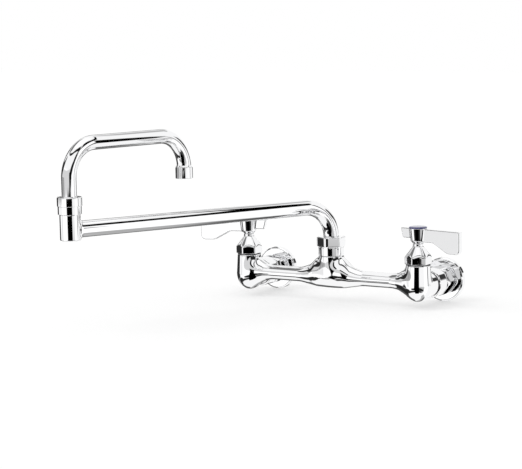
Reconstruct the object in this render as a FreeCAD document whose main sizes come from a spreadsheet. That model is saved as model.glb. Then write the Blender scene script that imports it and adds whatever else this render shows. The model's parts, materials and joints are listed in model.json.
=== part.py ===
import FreeCAD, Part
import Sketcher
import math
import os
import re

# Wall-mounted mixing faucet with wrist-blade valves and a double-jointed swing spout.
#
# Frame: +Z up, +Y into the wall. The wall face is Y = 0 and the two supply axes lie at Z = 0,
# half of supply_centres to either side of X = 0. Heights below are above the supply axes.
# Hot is on the -X side, cold on the +X side. All lengths are in millimetres, angles in degrees.

SIZES = [
    # layout
    ("supply_centres", 203.2, "distance between the hot and cold supply axes"),
    ("valve_reach", 60.5, "distance of the valve and riser axes from the wall face"),
    ("primary_reach", 304.8, "riser axis to swivel axis"),
    ("outlet_reach", 152.4, "swivel axis to outlet axis"),
    ("primary_turn", -23.4, "resting turn of the primary spout from straight out"),
    ("outlet_turn", 169.6, "resting turn of the outlet spout from straight out"),
    ("blade_turn", 12.0, "resting turn of each blade towards the room"),
    # clearances
    ("running_gap", 0.05, "radial and axial clearance of a running fit"),
    ("braze_gap", 0.05, "gap of a brazed or pressed joint"),
    ("thread_gap", 0.10, "radial clearance of a screwed joint"),
    ("free_gap", 0.30, "clearance between pieces that move past each other"),
    # cast body: arms and riser
    ("arm_radius", 7.7, "outside radius of the straight arms"),
    ("arm_height", 4.2, "height of the arm axis"),
    ("arm_bore", 4.0, "radius of the waterway in the arms"),
    ("crown_top", 26.0, "top of the casting's crown under the riser"),
    ("crown_drop", 7.6, "depth of the casting's belly at the riser"),
    ("crown_width", 11.8, "half width of the casting under the riser"),
    ("shoulder_top", 23.5, "top of the casting beside the riser"),
    ("shoulder_drop", 7.2, "depth of the casting beside the riser"),
    ("shoulder_width", 11.0, "half width of the casting beside the riser"),
    ("shoulder_offset", 2.4, "distance of that section outside the riser"),
    ("saddle_top", 15.8, "top of the casting where the riser's flare ends"),
    ("saddle_drop", 5.6, "depth of the casting where the riser's flare ends"),
    ("saddle_width", 8.8, "half width of the casting where the riser's flare ends"),
    ("saddle_offset", 12.4, "distance of that section outside the riser"),
    ("arm_offset", 27.4, "distance outside the riser where the straight arm starts"),
    ("flare_offset", 31.6, "distance inside the valve axis where the arm starts to flare"),
    ("swell_offset", 23.0, "distance inside the valve axis of the flare's first section"),
    ("swell_top", 12.9, "top of the flare at its first section"),
    ("swell_drop", 4.6, "depth of the flare at its first section"),
    ("swell_width", 8.2, "half width of the flare at its first section"),
    ("cheek_offset", 16.0, "distance inside the valve axis of the flare's second section"),
    ("cheek_top", 16.4, "top of the flare at its second section"),
    ("cheek_drop", 7.8, "depth of the flare at its second section"),
    ("cheek_width", 9.8, "half width of the flare at its second section"),
    ("root_offset", 6.0, "distance inside the valve axis of the flare's end in the tower"),
    ("root_top", 20.5, "top of the flare at its end"),
    ("root_drop", 12.0, "depth of the flare at its end"),
    ("root_width", 11.6, "half width of the flare at its end"),
    ("riser_radius", 12.6, "outside radius of the riser"),
    ("riser_top", 26.3, "height of the riser's shoulder under the spout nut"),
    ("riser_thread", 11.6, "radius of the riser's male thread"),
    ("riser_mouth", 38.0, "height of the riser's open end"),
    ("riser_bore", 10.0, "radius of the swivel bore in the riser"),
    ("riser_floor", 16.0, "height of the swivel bore's floor"),
    ("mixing_bore", 5.5, "radius of the waterway from the arms to the swivel bore"),
    # cast body: valve towers and supply bosses
    ("rim_radius", 12.4, "radius of the tower at its rim"),
    ("rim_height", 22.5, "height of the tower's rim"),
    ("belly_radius", 13.65, "largest radius of the tower"),
    ("belly_height", 1.5, "height of the tower's largest radius"),
    ("foot_drop", 15.6, "depth of the tower's rounded foot"),
    ("foot_round", 9.5, "radius of the foot's lowest round"),
    ("cavity_radius", 10.0, "radius of the valve cavity"),
    ("seat_level", 1.0, "height of the seat ledge in the valve cavity"),
    ("chamber_radius", 5.5, "radius of the supply chamber under the seat"),
    ("chamber_depth", 11.0, "depth of the supply chamber under the seat"),
    ("port_radius", 3.8, "radius of the port from the supply boss to the chamber"),
    ("port_drop", 5.0, "depth of that port under the supply axis"),
    ("boss_radius", 13.4, "radius of the supply boss"),
    ("boss_length", 18.7, "valve axis to the boss's shoulder"),
    ("boss_thread", 12.4, "radius of the boss's male thread"),
    ("thread_length", 9.5, "length of the boss's male thread"),
    ("supply_bore", 6.5, "radius of the supply waterway"),
    ("supply_depth", 11.0, "depth of the supply waterway into the boss"),
    # wall inlets
    ("flange_radius", 22.8, "radius of the wall flange"),
    ("flange_rim", 4.8, "thickness of the flange at its rim"),
    ("face_radius", 21.4, "radius of the flange's flat face"),
    ("flange_thickness", 6.2, "wall face to the flange's flat face"),
    ("waist_radius", 12.6, "radius of the waist between the flange and the inlet's hexagon"),
    ("neck_depth", 9.3, "wall face to the back of the inlet's hexagon"),
    ("neck_radius", 15.5, "radius at the corners of the inlet's hexagon"),
    ("neck_flats", 28.6, "width across the flats of the inlet's hexagon"),
    ("neck_gap", 0.4, "clearance between the coupling nut and the inlet's hexagon"),
    ("pipe_thread", 9.63, "radius of the half-inch female pipe thread"),
    ("pipe_depth", 15.0, "depth of the pipe thread from the wall face"),
    ("tail_radius", 9.7, "radius of the inlet's tail inside the coupling nut"),
    ("collar_radius", 12.2, "radius of the collar that the coupling nut pulls on"),
    ("collar_length", 2.45, "thickness of that collar"),
    ("washer_thickness", 1.5, "thickness of the coupling washer"),
    ("nut_radius", 15.25, "outside radius of the coupling nut"),
    ("nut_flats", 29.5, "width across the coupling nut's flats"),
    ("nut_bevel", 1.6, "bevel on the edges of the coupling nut and the inlet's hexagon"),
    ("front_ring", 1.6, "thickness of the rubber ring between the boss and the coupling nut"),
    ("nut_lip", 4.3, "thickness of the coupling nut's lip"),
    # valves
    ("gasket_thickness", 0.8, "thickness of the gasket between tower and bonnet"),
    ("seal_thickness", 1.5, "thickness of the seat seal"),
    ("seal_bore", 5.9, "inner radius of the seat seal"),
    ("sleeve_radius", 9.0, "outside radius of the cartridge barrel"),
    ("sleeve_wall", 1.2, "wall of the cartridge barrel"),
    ("sleeve_roof", 12.0, "height of the roof inside the barrel"),
    ("sleeve_flange", 13.0, "height of the underside of the cartridge flange"),
    ("sleeve_seat", 17.0, "height of the cartridge flange's top"),
    ("sleeve_neck", 6.2, "outside radius of the cartridge neck"),
    ("sleeve_top", 28.0, "height of the cartridge neck's top"),
    ("window_radius", 1.6, "radius of the outlet windows in the barrel"),
    ("window_height", 9.6, "height of the outlet windows"),
    ("disc_thickness", 2.5, "thickness of each ceramic disc"),
    ("disc_hole", 2.2, "radius of the ports in the ceramic discs"),
    ("disc_offset", 4.4, "distance of those ports from the valve axis"),
    ("stem_radius", 4.5, "radius of the stem in the cartridge"),
    ("stem_foot", 5.6, "radius of the stem's driving foot"),
    ("stem_broach", 4.0, "radius of the stem's upper end"),
    ("stem_top", 52.0, "height of the stem's top"),
    ("ring_section", 0.6, "radius of the stem O-rings' section"),
    ("ring_spacing", 4.0, "distance between the two stem O-rings"),
    ("ring_height", 19.0, "height of the lower stem O-ring"),
    ("clip_thickness", 0.8, "thickness of the stem clip"),
    ("clip_radius", 5.9, "outside radius of the stem clip"),
    ("clip_groove", 3.6, "radius of the stem under the clip"),
    ("bonnet_thread", 10.5, "radius of the bonnet's male thread"),
    ("bonnet_flats", 24.6, "width across the bonnet's flats"),
    ("bonnet_corner", 14.3, "radius at the bonnet's hexagon corners"),
    ("bonnet_slope", 30.4, "height where the bonnet's cone meets the corners"),
    ("bonnet_neck", 5.3, "radius of the bonnet's neck"),
    ("bonnet_cone", 41.5, "height of the top of the bonnet's cone"),
    ("bonnet_roof", 30.5, "height of the roof inside the bonnet"),
    ("bonnet_top", 44.3, "height of the bonnet's top"),
    # handles
    ("hub_height", 44.7, "height of the underside of the handle hub"),
    ("hub_foot", 5.3, "radius of the hub's underside"),
    ("hub_waist", 7.5, "radius of the hub above its rounded foot"),
    ("hub_round", 2.3, "height of the hub's rounded foot"),
    ("hub_crown", 9.2, "radius of the hub at its top"),
    ("hub_length", 15.5, "height of the hub"),
    ("hub_socket", 7.8, "depth of the stem socket in the hub"),
    ("hub_web", 2.0, "thickness of the web that the screw clamps"),
    ("recess_radius", 6.6, "radius of the recess in the hub's top"),
    ("blade_length", 54.2, "valve axis to the blade's tip"),
    ("blade_depth", 8.1, "depth of the blade's heel under the hub"),
    ("blade_heel", 39.0, "valve axis to the blade's heel"),
    ("blade_neck", 21.0, "valve axis to where the blade narrows"),
    ("blade_root", 1.6, "height of the blade's lower edge at the hub"),
    ("blade_top", 14.9, "height of the blade's upper edge"),
    ("blade_thickness", 5.4, "thickness of the blade"),
    ("blade_corner", 5.0, "rounding of the tip's lower corner"),
    ("blade_curve", 9.0, "rounding of the blade's heel and neck"),
    ("tail_length", 20.3, "valve axis to the end of the handle's tail"),
    ("tail_slant", 2.0, "slant of the tail's end"),
    ("tail_root", 4.7, "height of the tail's lower edge"),
    ("screw_radius", 2.0, "radius of the handle screw"),
    ("screw_length", 8.0, "length of the handle screw under its head"),
    ("screw_head", 4.0, "radius of the screw's head"),
    ("head_thickness", 2.2, "thickness of the screw's head"),
    ("slot_width", 1.2, "width of the screw's slot"),
    ("slot_depth", 1.1, "depth of the screw's slot"),
    ("index_radius", 9.2, "radius of the index button"),
    ("index_thickness", 1.4, "thickness of the index button"),
    ("index_spigot", 1.7, "length of the index button's spigot"),
    # spout tubes
    ("primary_radius", 7.94, "outside radius of the primary tube"),
    ("outlet_radius", 7.14, "outside radius of the outlet tube"),
    ("tube_wall", 0.9, "wall of both tubes"),
    ("bend_radius", 32.0, "centreline radius of every bend"),
    ("primary_height", 78.4, "height of the primary tube's axis"),
    ("outlet_height", 159.0, "height of the outlet tube's axis"),
    # joint between riser and primary spout
    ("spout_nut_top", 46.3, "height of the spout nut's top"),
    ("spout_nut_step", 36.2, "height of the step between the nut's skirt and hexagon"),
    ("spout_nut_skirt", 13.25, "radius of the spout nut's skirt"),
    ("spout_nut_flats", 26.9, "width across the spout nut's flats"),
    ("spout_nut_corner", 14.9, "radius at the spout nut's corners"),
    ("spout_nut_lip", 4.3, "thickness of the spout nut's lip"),
    ("bearing_flange", 2.45, "thickness of the spout bearing's flange"),
    ("bearing_length", 17.0, "length of the spout bearing in the riser"),
    ("bearing_groove", 1.2, "depth of the spout bearing's O-ring groove"),
    # swivel between primary and outlet spout
    ("socket_radius", 9.9, "outside radius of the swivel socket"),
    ("socket_bottom", 68.7, "height of the socket's closed end"),
    ("socket_floor", 1.8, "thickness of the socket's closed end"),
    ("socket_step", 93.3, "height of the socket's step under the swivel nut"),
    ("socket_thread", 9.6, "radius of the socket's male thread"),
    ("socket_mouth", 104.0, "height of the socket's open end"),
    ("socket_bore", 8.6, "radius of the swivel bore in the socket"),
    ("swivel_nut_low", 11.3, "radius of the swivel nut's lower ring"),
    ("swivel_nut_high", 11.9, "radius of the swivel nut's upper ring"),
    ("swivel_nut_step", 101.0, "height of the step between the swivel nut's rings"),
    ("swivel_nut_top", 110.0, "height of the swivel nut's top"),
    ("swivel_nut_lip", 2.6, "thickness of the swivel nut's lip"),
    ("swivel_flange", 2.0, "thickness of the swivel bearing's flange"),
    ("swivel_length", 15.0, "length of the swivel bearing in the socket"),
    ("swivel_groove", 0.95, "depth of the swivel bearing's O-ring groove"),
    # outlet tip
    ("tip_drop", 43.9, "outlet tube's axis down to the outlet's lower edge"),
    ("tip_radius", 8.7, "radius of the outlet housing"),
    ("tip_length", 11.3, "height of the outlet housing, up to its shoulder"),
    ("tip_cone", 1.8, "height of the shoulder's cone"),
    ("tip_thread", 8.0, "radius of the adapter's male thread"),
    ("tip_lip", 1.2, "thickness of the housing's lower lip"),
    ("tip_opening", 7.0, "radius of the outlet's opening"),
    ("tube_inset", 6.9, "height of the outlet tube's end above the outlet's lower edge"),
    ("insert_height", 3.6, "height of the flow straightener"),
    ("insert_hole", 1.1, "radius of the straightener's holes"),
    ("insert_ring", 4.6, "radius of the straightener's ring of holes"),
    ("screen_thickness", 0.4, "thickness of the outlet screen"),
    ("tip_washer", 1.1, "thickness of the outlet washer"),
]

SIDES = {"hot": -1, "cold": 1}
UP = FreeCAD.Vector(0, 0, 1)

# Turns a local +Z axis onto the row axis named.
AXIS_TURNS = {
    "X": FreeCAD.Rotation(FreeCAD.Vector(0, 1, 0), 90),
    "Y": FreeCAD.Rotation(FreeCAD.Vector(1, 0, 0), -90),
    "Z": FreeCAD.Rotation(),
}

doc = FreeCAD.newDocument("wall_faucet")
sheet = doc.addObject("Spreadsheet::Sheet", "sizes")
for row, (alias, number, meaning) in enumerate(SIZES, start=1):
    sheet.set(f"A{row}", meaning)
    sheet.set(f"B{row}", str(number))
    sheet.setAlias(f"B{row}", alias)
doc.recompute()
ALIASES = {alias for alias, number, meaning in SIZES}
nodes = []


def value(text):
    """The number that a size expression stands for now."""
    return float(sheet.evalExpression(str(text)))


def bind(item, path, text):
    """Tie a property to a size expression, whose words are aliases of the sheet."""
    linked = re.sub(r"[a-z_]+", lambda word: f"sizes.{word[0]}" if word[0] in ALIASES else word[0],
                    str(text))
    item.setExpression(path, linked)


def place(item, spot, axis="Z"):
    """Put an object at a spot given by three size expressions, its own +Z along a row axis."""
    item.Placement = FreeCAD.Placement(FreeCAD.Vector(), AXIS_TURNS[axis])
    for name, text in zip("xyz", spot):
        bind(item, f"Placement.Base.{name}", text)


def node(item, label):
    """Name an object as one sub-part of the faucet."""
    item.Label = label
    nodes.append(item)
    return item


# ---- sketches and PartDesign features ------------------------------------------------------

def new_body(label, spot=(0, 0, 0), turn=None):
    """An empty body at a spot; turn is an expression for its angle about +Z."""
    body = node(doc.addObject("PartDesign::Body", label), label)
    place(body, spot)
    if turn is not None:
        body.Placement.Rotation = FreeCAD.Rotation(UP, value(turn))
        bind(body, "Placement.Rotation.Angle", turn)
        body.Placement.Rotation.Axis = UP
    return body


def new_sketch(body, role, offset="0"):
    """A sketch on one of the body's own origin planes, shifted along the plane's normal."""
    sketch = body.newObject("Sketcher::SketchObject", "Sketch")
    support = next(item for item in body.Origin.OriginFeatures if item.Role == role)
    sketch.AttachmentSupport = [(support, "")]
    sketch.MapMode = "FlatFace"
    bind(sketch, "AttachmentOffset.Base.z", offset)
    return sketch


def pin(sketch, geometry, end, across, up):
    """Hold a point of the sketch at the distances that two size expressions give."""
    for kind, axis, text in (("DistanceX", -2, across), ("DistanceY", -1, up)):
        distance = value(text)
        if abs(distance) < 1e-9:
            sketch.addConstraint(Sketcher.Constraint("PointOnObject", geometry, end, axis))
        else:
            rule = sketch.addConstraint(Sketcher.Constraint(kind, -1, 1, geometry, end, distance))
            bind(sketch, f"Constraints[{rule}]", text)


def arc_between(start, finish, radius, way):
    """The shorter arc from one point to another, bending left or right of the way it travels."""
    chord = finish - start
    across = FreeCAD.Vector(-chord.y, chord.x, 0).normalize()
    side = 1 if way == "left" else -1
    rise = math.sqrt(radius ** 2 - (chord.Length / 2) ** 2)
    centre = (start + finish) / 2 + across * rise * side
    angles = [math.atan2((point - centre).y, (point - centre).x) for point in (start, finish)]
    if way == "right":
        angles.reverse()
    return Part.ArcOfCircle(Part.Circle(centre, UP, radius), *angles)


def draw_outline(sketch, corners, closed=True):
    """Lines and arcs through corners, each a pair of size expressions.

    A corner may also hold the radius of an arc that leaves it, and the way that arc bends.
    """
    points = [FreeCAD.Vector(value(corner[0]), value(corner[1]), 0) for corner in corners]
    count = len(corners) if closed else len(corners) - 1
    tips = []
    for index in range(count):
        start, finish = points[index], points[(index + 1) % len(points)]
        if len(corners[index]) == 2:
            sketch.addGeometry(Part.LineSegment(start, finish))
            tips.append((1, 2))
            continue
        radius, way = corners[index][2:]
        sketch.addGeometry(arc_between(start, finish, value(radius), way))
        tips.append((1, 2) if way == "left" else (2, 1))
        rule = sketch.addConstraint(Sketcher.Constraint("Radius", index, value(radius)))
        bind(sketch, f"Constraints[{rule}]", radius)
    for index in range(count):
        pin(sketch, index, tips[index][0], *corners[index][:2])
        after = (index + 1) % count
        if closed or after:
            sketch.addConstraint(
                Sketcher.Constraint("Coincident", index, tips[index][1], after, tips[after][0]))
    if not closed:
        pin(sketch, count - 1, tips[-1][1], *corners[-1][:2])


def draw_circle(sketch, radius, across="0", up="0"):
    """A circle with its radius and centre tied to size expressions."""
    centre = FreeCAD.Vector(value(across), value(up), 0)
    circle = sketch.addGeometry(Part.Circle(centre, UP, value(radius)))
    rule = sketch.addConstraint(Sketcher.Constraint("Radius", circle, value(radius)))
    bind(sketch, f"Constraints[{rule}]", radius)
    pin(sketch, circle, 3, across, up)


def revolve(body, profile, axis="Z", cut=False):
    """Turn a profile of (radius, position along the axis) corners about a row axis."""
    sketch = new_sketch(body, "YZ_Plane" if axis == "Y" else "XZ_Plane")
    swapped = {"left": "right", "right": "left"}
    corners = profile if axis == "Z" else [
        (corner[1], corner[0], *(swapped.get(word, word) for word in corner[2:]))
        for corner in profile]
    draw_outline(sketch, corners)
    feature = body.newObject("PartDesign::Groove" if cut else "PartDesign::Revolution", "Turn")
    feature.Profile = sketch
    feature.ReferenceAxis = (sketch, ["V_Axis" if axis == "Z" else "H_Axis"])
    feature.Angle = 360
    return feature


def turned(label, profile, spot=(0, 0, 0), axis="Z", turn=None):
    """A body turned from one profile."""
    body = new_body(label, spot, turn)
    revolve(body, profile, axis)
    return body


def drill(body, radius, length, spot, axis="Z"):
    """A round hole from a spot, along a row axis of the body."""
    hole = body.newObject("PartDesign::SubtractiveCylinder", "Drill")
    bind(hole, "Radius", radius)
    bind(hole, "Height", length)
    place(hole, spot, axis)
    return hole


def cut_flats(body, across_flats, bottom, top, corner, role="XY_Plane"):
    """Six flats on a round piece, two of them facing along X, between two positions along the
    plane's normal."""
    sketch = new_sketch(body, role, bottom)
    reach = f"{across_flats} / sqrt(3)"
    draw_outline(sketch, [(f"{reach} * cos({turn})", f"{reach} * sin({turn})")
                          for turn in range(30, 390, 60)])
    draw_circle(sketch, f"{corner} + {across_flats}")
    pocket = body.newObject("PartDesign::Pocket", "Flats")
    pocket.Profile = sketch
    pocket.Reversed = True
    bind(pocket, "Length", f"({top}) - ({bottom})")
    return pocket


def round_edges(body, radius, chosen):
    """A fillet on the edges of the body that the test picks."""
    doc.recompute()
    base = body.Tip
    names = [f"Edge{number}" for number, edge in enumerate(base.Shape.Edges, start=1)
             if chosen(edge)]
    fillet = body.newObject("PartDesign::Fillet", "Round")
    fillet.Base = (base, names)
    bind(fillet, "Radius", radius)
    return fillet


def bent_tube(label, radius, foot, points, spot, turn):
    """A tube that rises from a foot on its own Z axis and follows points (distance out, height).

    Every second stretch is a bend, starting with the one after the rise.
    """
    body = new_body(label, spot, turn)
    path = new_sketch(body, "YZ_Plane")
    corners = [("0", foot)] + [(f"-({out})", height) for out, height in points]
    bends = range(1, len(corners) - 1, 2)
    draw_outline(path, [corner + ("bend_radius", "left") if index in bends else corner
                        for index, corner in enumerate(corners)], closed=False)
    section = new_sketch(body, "XY_Plane", foot)
    draw_circle(section, radius)
    draw_circle(section, f"{radius} - tube_wall")
    pipe = body.newObject("PartDesign::AdditivePipe", "Pipe")
    pipe.Profile = section
    pipe.Spine = (path, [f"Edge{number}" for number in range(1, len(corners))])
    return body


# ---- Part primitives ------------------------------------------------------------------------

def solid_of(kind, spot, axis="Z", **dimensions):
    """A Part primitive with its dimensions tied to size expressions."""
    item = doc.addObject(f"Part::{kind}", kind)
    place(item, spot, axis)
    for name, text in dimensions.items():
        bind(item, name, text)
    return item


def o_ring(label, centre_radius, section_radius, spot):
    """A rubber ring about +Z."""
    return node(solid_of("Torus", spot, Radius1=centre_radius, Radius2=section_radius), label)


def fuse(items, label):
    joined = doc.addObject("Part::MultiFuse", label)
    joined.Shapes = items
    return joined


# ---- cast body ------------------------------------------------------------------------------

def cast_section(station, top, drop, half_width):
    """One upright ellipse of the casting, from drop below the supply axes to top above them."""
    spot = (station, "-valve_reach", f"(({top}) - ({drop})) / 2")
    ellipse = solid_of("Ellipse", spot, MajorRadius=f"(({top}) + ({drop})) / 2",
                       MinorRadius=half_width)
    ellipse.Placement.Rotation = FreeCAD.Rotation(FreeCAD.Vector(0, 1, 0), -90)
    return ellipse


def cast_loft(sections):
    """A smooth stretch of the casting through upright ellipses, from left to right."""
    loft = doc.addObject("Part::Loft", "arms")
    loft.Sections = [cast_section(*section) for section in sections]
    loft.Solid = True
    return loft


def mirrored(sections):
    """The same sections on the other side of X = 0, in left-to-right order."""
    return [(f"-({station})", *rest) for station, *rest in reversed(sections)]


def tower(spot):
    """A valve tower: tapered wall over a rounded foot of two arcs, tangent to each other."""
    body = doc.addObject("PartDesign::Body", "tower")
    place(body, spot)
    depth = "(belly_height + foot_drop - foot_round)"
    side_round = (f"((belly_radius ^ 2 + {depth} ^ 2 - foot_round ^ 2)"
                  " / (2 * (belly_radius - foot_round)))")
    share = f"(foot_round / ({side_round} - foot_round))"
    revolve(body, [
        ("0", "rim_height"),
        ("rim_radius", "rim_height"),
        ("belly_radius", "belly_height", side_round, "right"),
        (f"{share} * ({side_round} - belly_radius)",
         f"foot_round - foot_drop - {share} * {depth}", "foot_round", "right"),
        ("0", "-foot_drop"),
    ])
    return body


def make_faucet_body():
    """Brass casting: two valve towers, their supply bosses, the arms and the riser, with waterways."""
    axis_y = "-valve_reach"
    arm_top, arm_drop = "arm_height + arm_radius", "arm_radius - arm_height"
    arm_start, arm_end = "riser_radius + arm_offset", "supply_centres / 2 - flare_offset"
    flank = [
        ("riser_radius + shoulder_offset", "shoulder_top", "shoulder_drop", "shoulder_width"),
        ("riser_radius + saddle_offset", "saddle_top", "saddle_drop", "saddle_width"),
        (arm_start, arm_top, arm_drop, "arm_radius"),
    ]
    crown = [("0", "crown_top", "crown_drop", "crown_width")]
    added = [cast_loft(mirrored(flank) + crown + flank)]
    added.append(solid_of("Cylinder", ("0", axis_y, "arm_height"),
                          Radius="riser_radius", Height="riser_top - arm_height"))
    added.append(solid_of("Cylinder", ("0", axis_y, "riser_top"),
                          Radius="riser_thread", Height="riser_mouth - riser_top"))
    removed = [
        solid_of("Cylinder", ("0", axis_y, "riser_floor"),
                 Radius="riser_bore", Height="riser_mouth - riser_floor + riser_bore"),
        solid_of("Cylinder", ("0", axis_y, "arm_height"),
                 Radius="mixing_bore", Height="riser_floor - arm_height"),
        solid_of("Cylinder", ("-supply_centres / 2 + cavity_radius - free_gap", axis_y, "arm_height"),
                 "X", Radius="arm_bore", Height="supply_centres - 2 * (cavity_radius - free_gap)"),
    ]
    flare = [
        (arm_end, arm_top, arm_drop, "arm_radius"),
        ("supply_centres / 2 - swell_offset", "swell_top", "swell_drop", "swell_width"),
        ("supply_centres / 2 - cheek_offset", "cheek_top", "cheek_drop", "cheek_width"),
        ("supply_centres / 2 - root_offset", "root_top", "root_drop", "root_width"),
    ]
    for sign in SIDES.values():
        axis_x = f"{sign} * supply_centres / 2"
        near_end = arm_start if sign > 0 else f"-({arm_end})"
        added.append(solid_of("Cylinder", (near_end, axis_y, "arm_height"), "X",
                              Radius="arm_radius", Height=f"{arm_end} - ({arm_start})"))
        added.append(cast_loft(flare if sign > 0 else mirrored(flare)))
        added.append(tower((axis_x, axis_y, "0")))
        added.append(solid_of("Cylinder", (axis_x, axis_y, "0"), "Y",
                              Radius="boss_radius", Height="boss_length"))
        added.append(solid_of("Cylinder", (axis_x, f"{axis_y} + boss_length", "0"), "Y",
                              Radius="boss_thread", Height="thread_length"))
        removed.append(solid_of("Cylinder", (axis_x, axis_y, "seat_level"),
                                Radius="cavity_radius", Height="rim_height"))
        removed.append(solid_of("Cylinder", (axis_x, axis_y, "sleeve_flange"),
                                Radius="bonnet_thread + thread_gap", Height="rim_height"))
        removed.append(solid_of("Cylinder", (axis_x, axis_y, "seat_level - chamber_depth"),
                                Radius="chamber_radius", Height="chamber_depth"))
        removed.append(solid_of("Cylinder", (axis_x, axis_y, "-port_drop"), "Y",
                                Radius="port_radius", Height="boss_length"))
        removed.append(solid_of("Cylinder",
                                (axis_x, f"{axis_y} + boss_length + thread_length - supply_depth", "0"),
                                "Y", Radius="supply_bore", Height="supply_depth"))
    casting = added[0]
    for kind, tools in (("Fuse", added[1:]), ("Cut", removed)):
        for tool in tools:
            step = doc.addObject(f"Part::{kind}", f"casting_{kind.lower()}")
            step.Base, step.Tool = casting, tool
            step.Refine = False
            casting = step
    node(casting, "faucet_body")


# ---- wall inlets ----------------------------------------------------------------------------

def make_inlet(side, axis_x):
    """Flanged inlet, coupling nut, washer and ring of one supply. The turned axis runs along Y."""
    spot = (axis_x, "0", "0")
    boss_shoulder = "boss_length - valve_reach"
    boss_face = f"{boss_shoulder} + thread_length"
    washer_back = f"{boss_face} + washer_thickness"
    collar_back = f"{washer_back} + collar_length"
    front = f"{boss_shoulder} + front_ring"
    seat = f"{collar_back} + braze_gap"
    back = f"{seat} + nut_lip"
    neck_front = f"{back} + neck_gap"
    flange = turned(f"{side}_inlet_flange", [
        ("pipe_thread", "0"),
        ("flange_radius", "0"),
        ("flange_radius", "-flange_rim"),
        ("face_radius", "-flange_thickness"),
        ("waist_radius", "-flange_thickness"),
        ("waist_radius", "-neck_depth"),
        ("neck_radius - nut_bevel", "-neck_depth"),
        ("neck_radius", "-neck_depth - nut_bevel"),
        ("neck_radius", f"{neck_front} + nut_bevel"),
        ("neck_radius - nut_bevel", neck_front),
        ("tail_radius", neck_front),
        ("tail_radius", collar_back),
        ("collar_radius", collar_back),
        ("collar_radius", washer_back),
        ("supply_bore", washer_back),
        ("supply_bore", "-pipe_depth"),
        ("pipe_thread", "-pipe_depth"),
    ], spot, "Y")
    # The XZ plane's normal is -Y, so positions along it change sign.
    cut_flats(flange, "neck_flats", "neck_depth", f"-({neck_front})", "neck_radius", "XZ_Plane")
    turned(f"{side}_coupling_ring", [
        ("boss_thread + thread_gap", boss_shoulder),
        ("boss_radius", boss_shoulder),
        ("boss_radius", front),
        ("boss_thread + thread_gap", front),
    ], spot, "Y")
    turned(f"{side}_coupling_washer", [
        ("supply_bore", boss_face),
        ("collar_radius - free_gap", boss_face),
        ("collar_radius - free_gap", washer_back),
        ("supply_bore", washer_back),
    ], spot, "Y")
    nut = turned(f"{side}_coupling_nut", [
        ("boss_thread + thread_gap", front),
        ("nut_radius - nut_bevel", front),
        ("nut_radius", f"{front} + nut_bevel"),
        ("nut_radius", f"{back} - nut_bevel"),
        ("nut_radius - nut_bevel", back),
        ("tail_radius + thread_gap", back),
        ("tail_radius + thread_gap", seat),
        ("boss_thread + thread_gap", seat),
    ], spot, "Y")
    cut_flats(nut, "nut_flats", f"-({back})", f"-({front})", "nut_radius", "XZ_Plane")


# ---- valves and handles ---------------------------------------------------------------------

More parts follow.
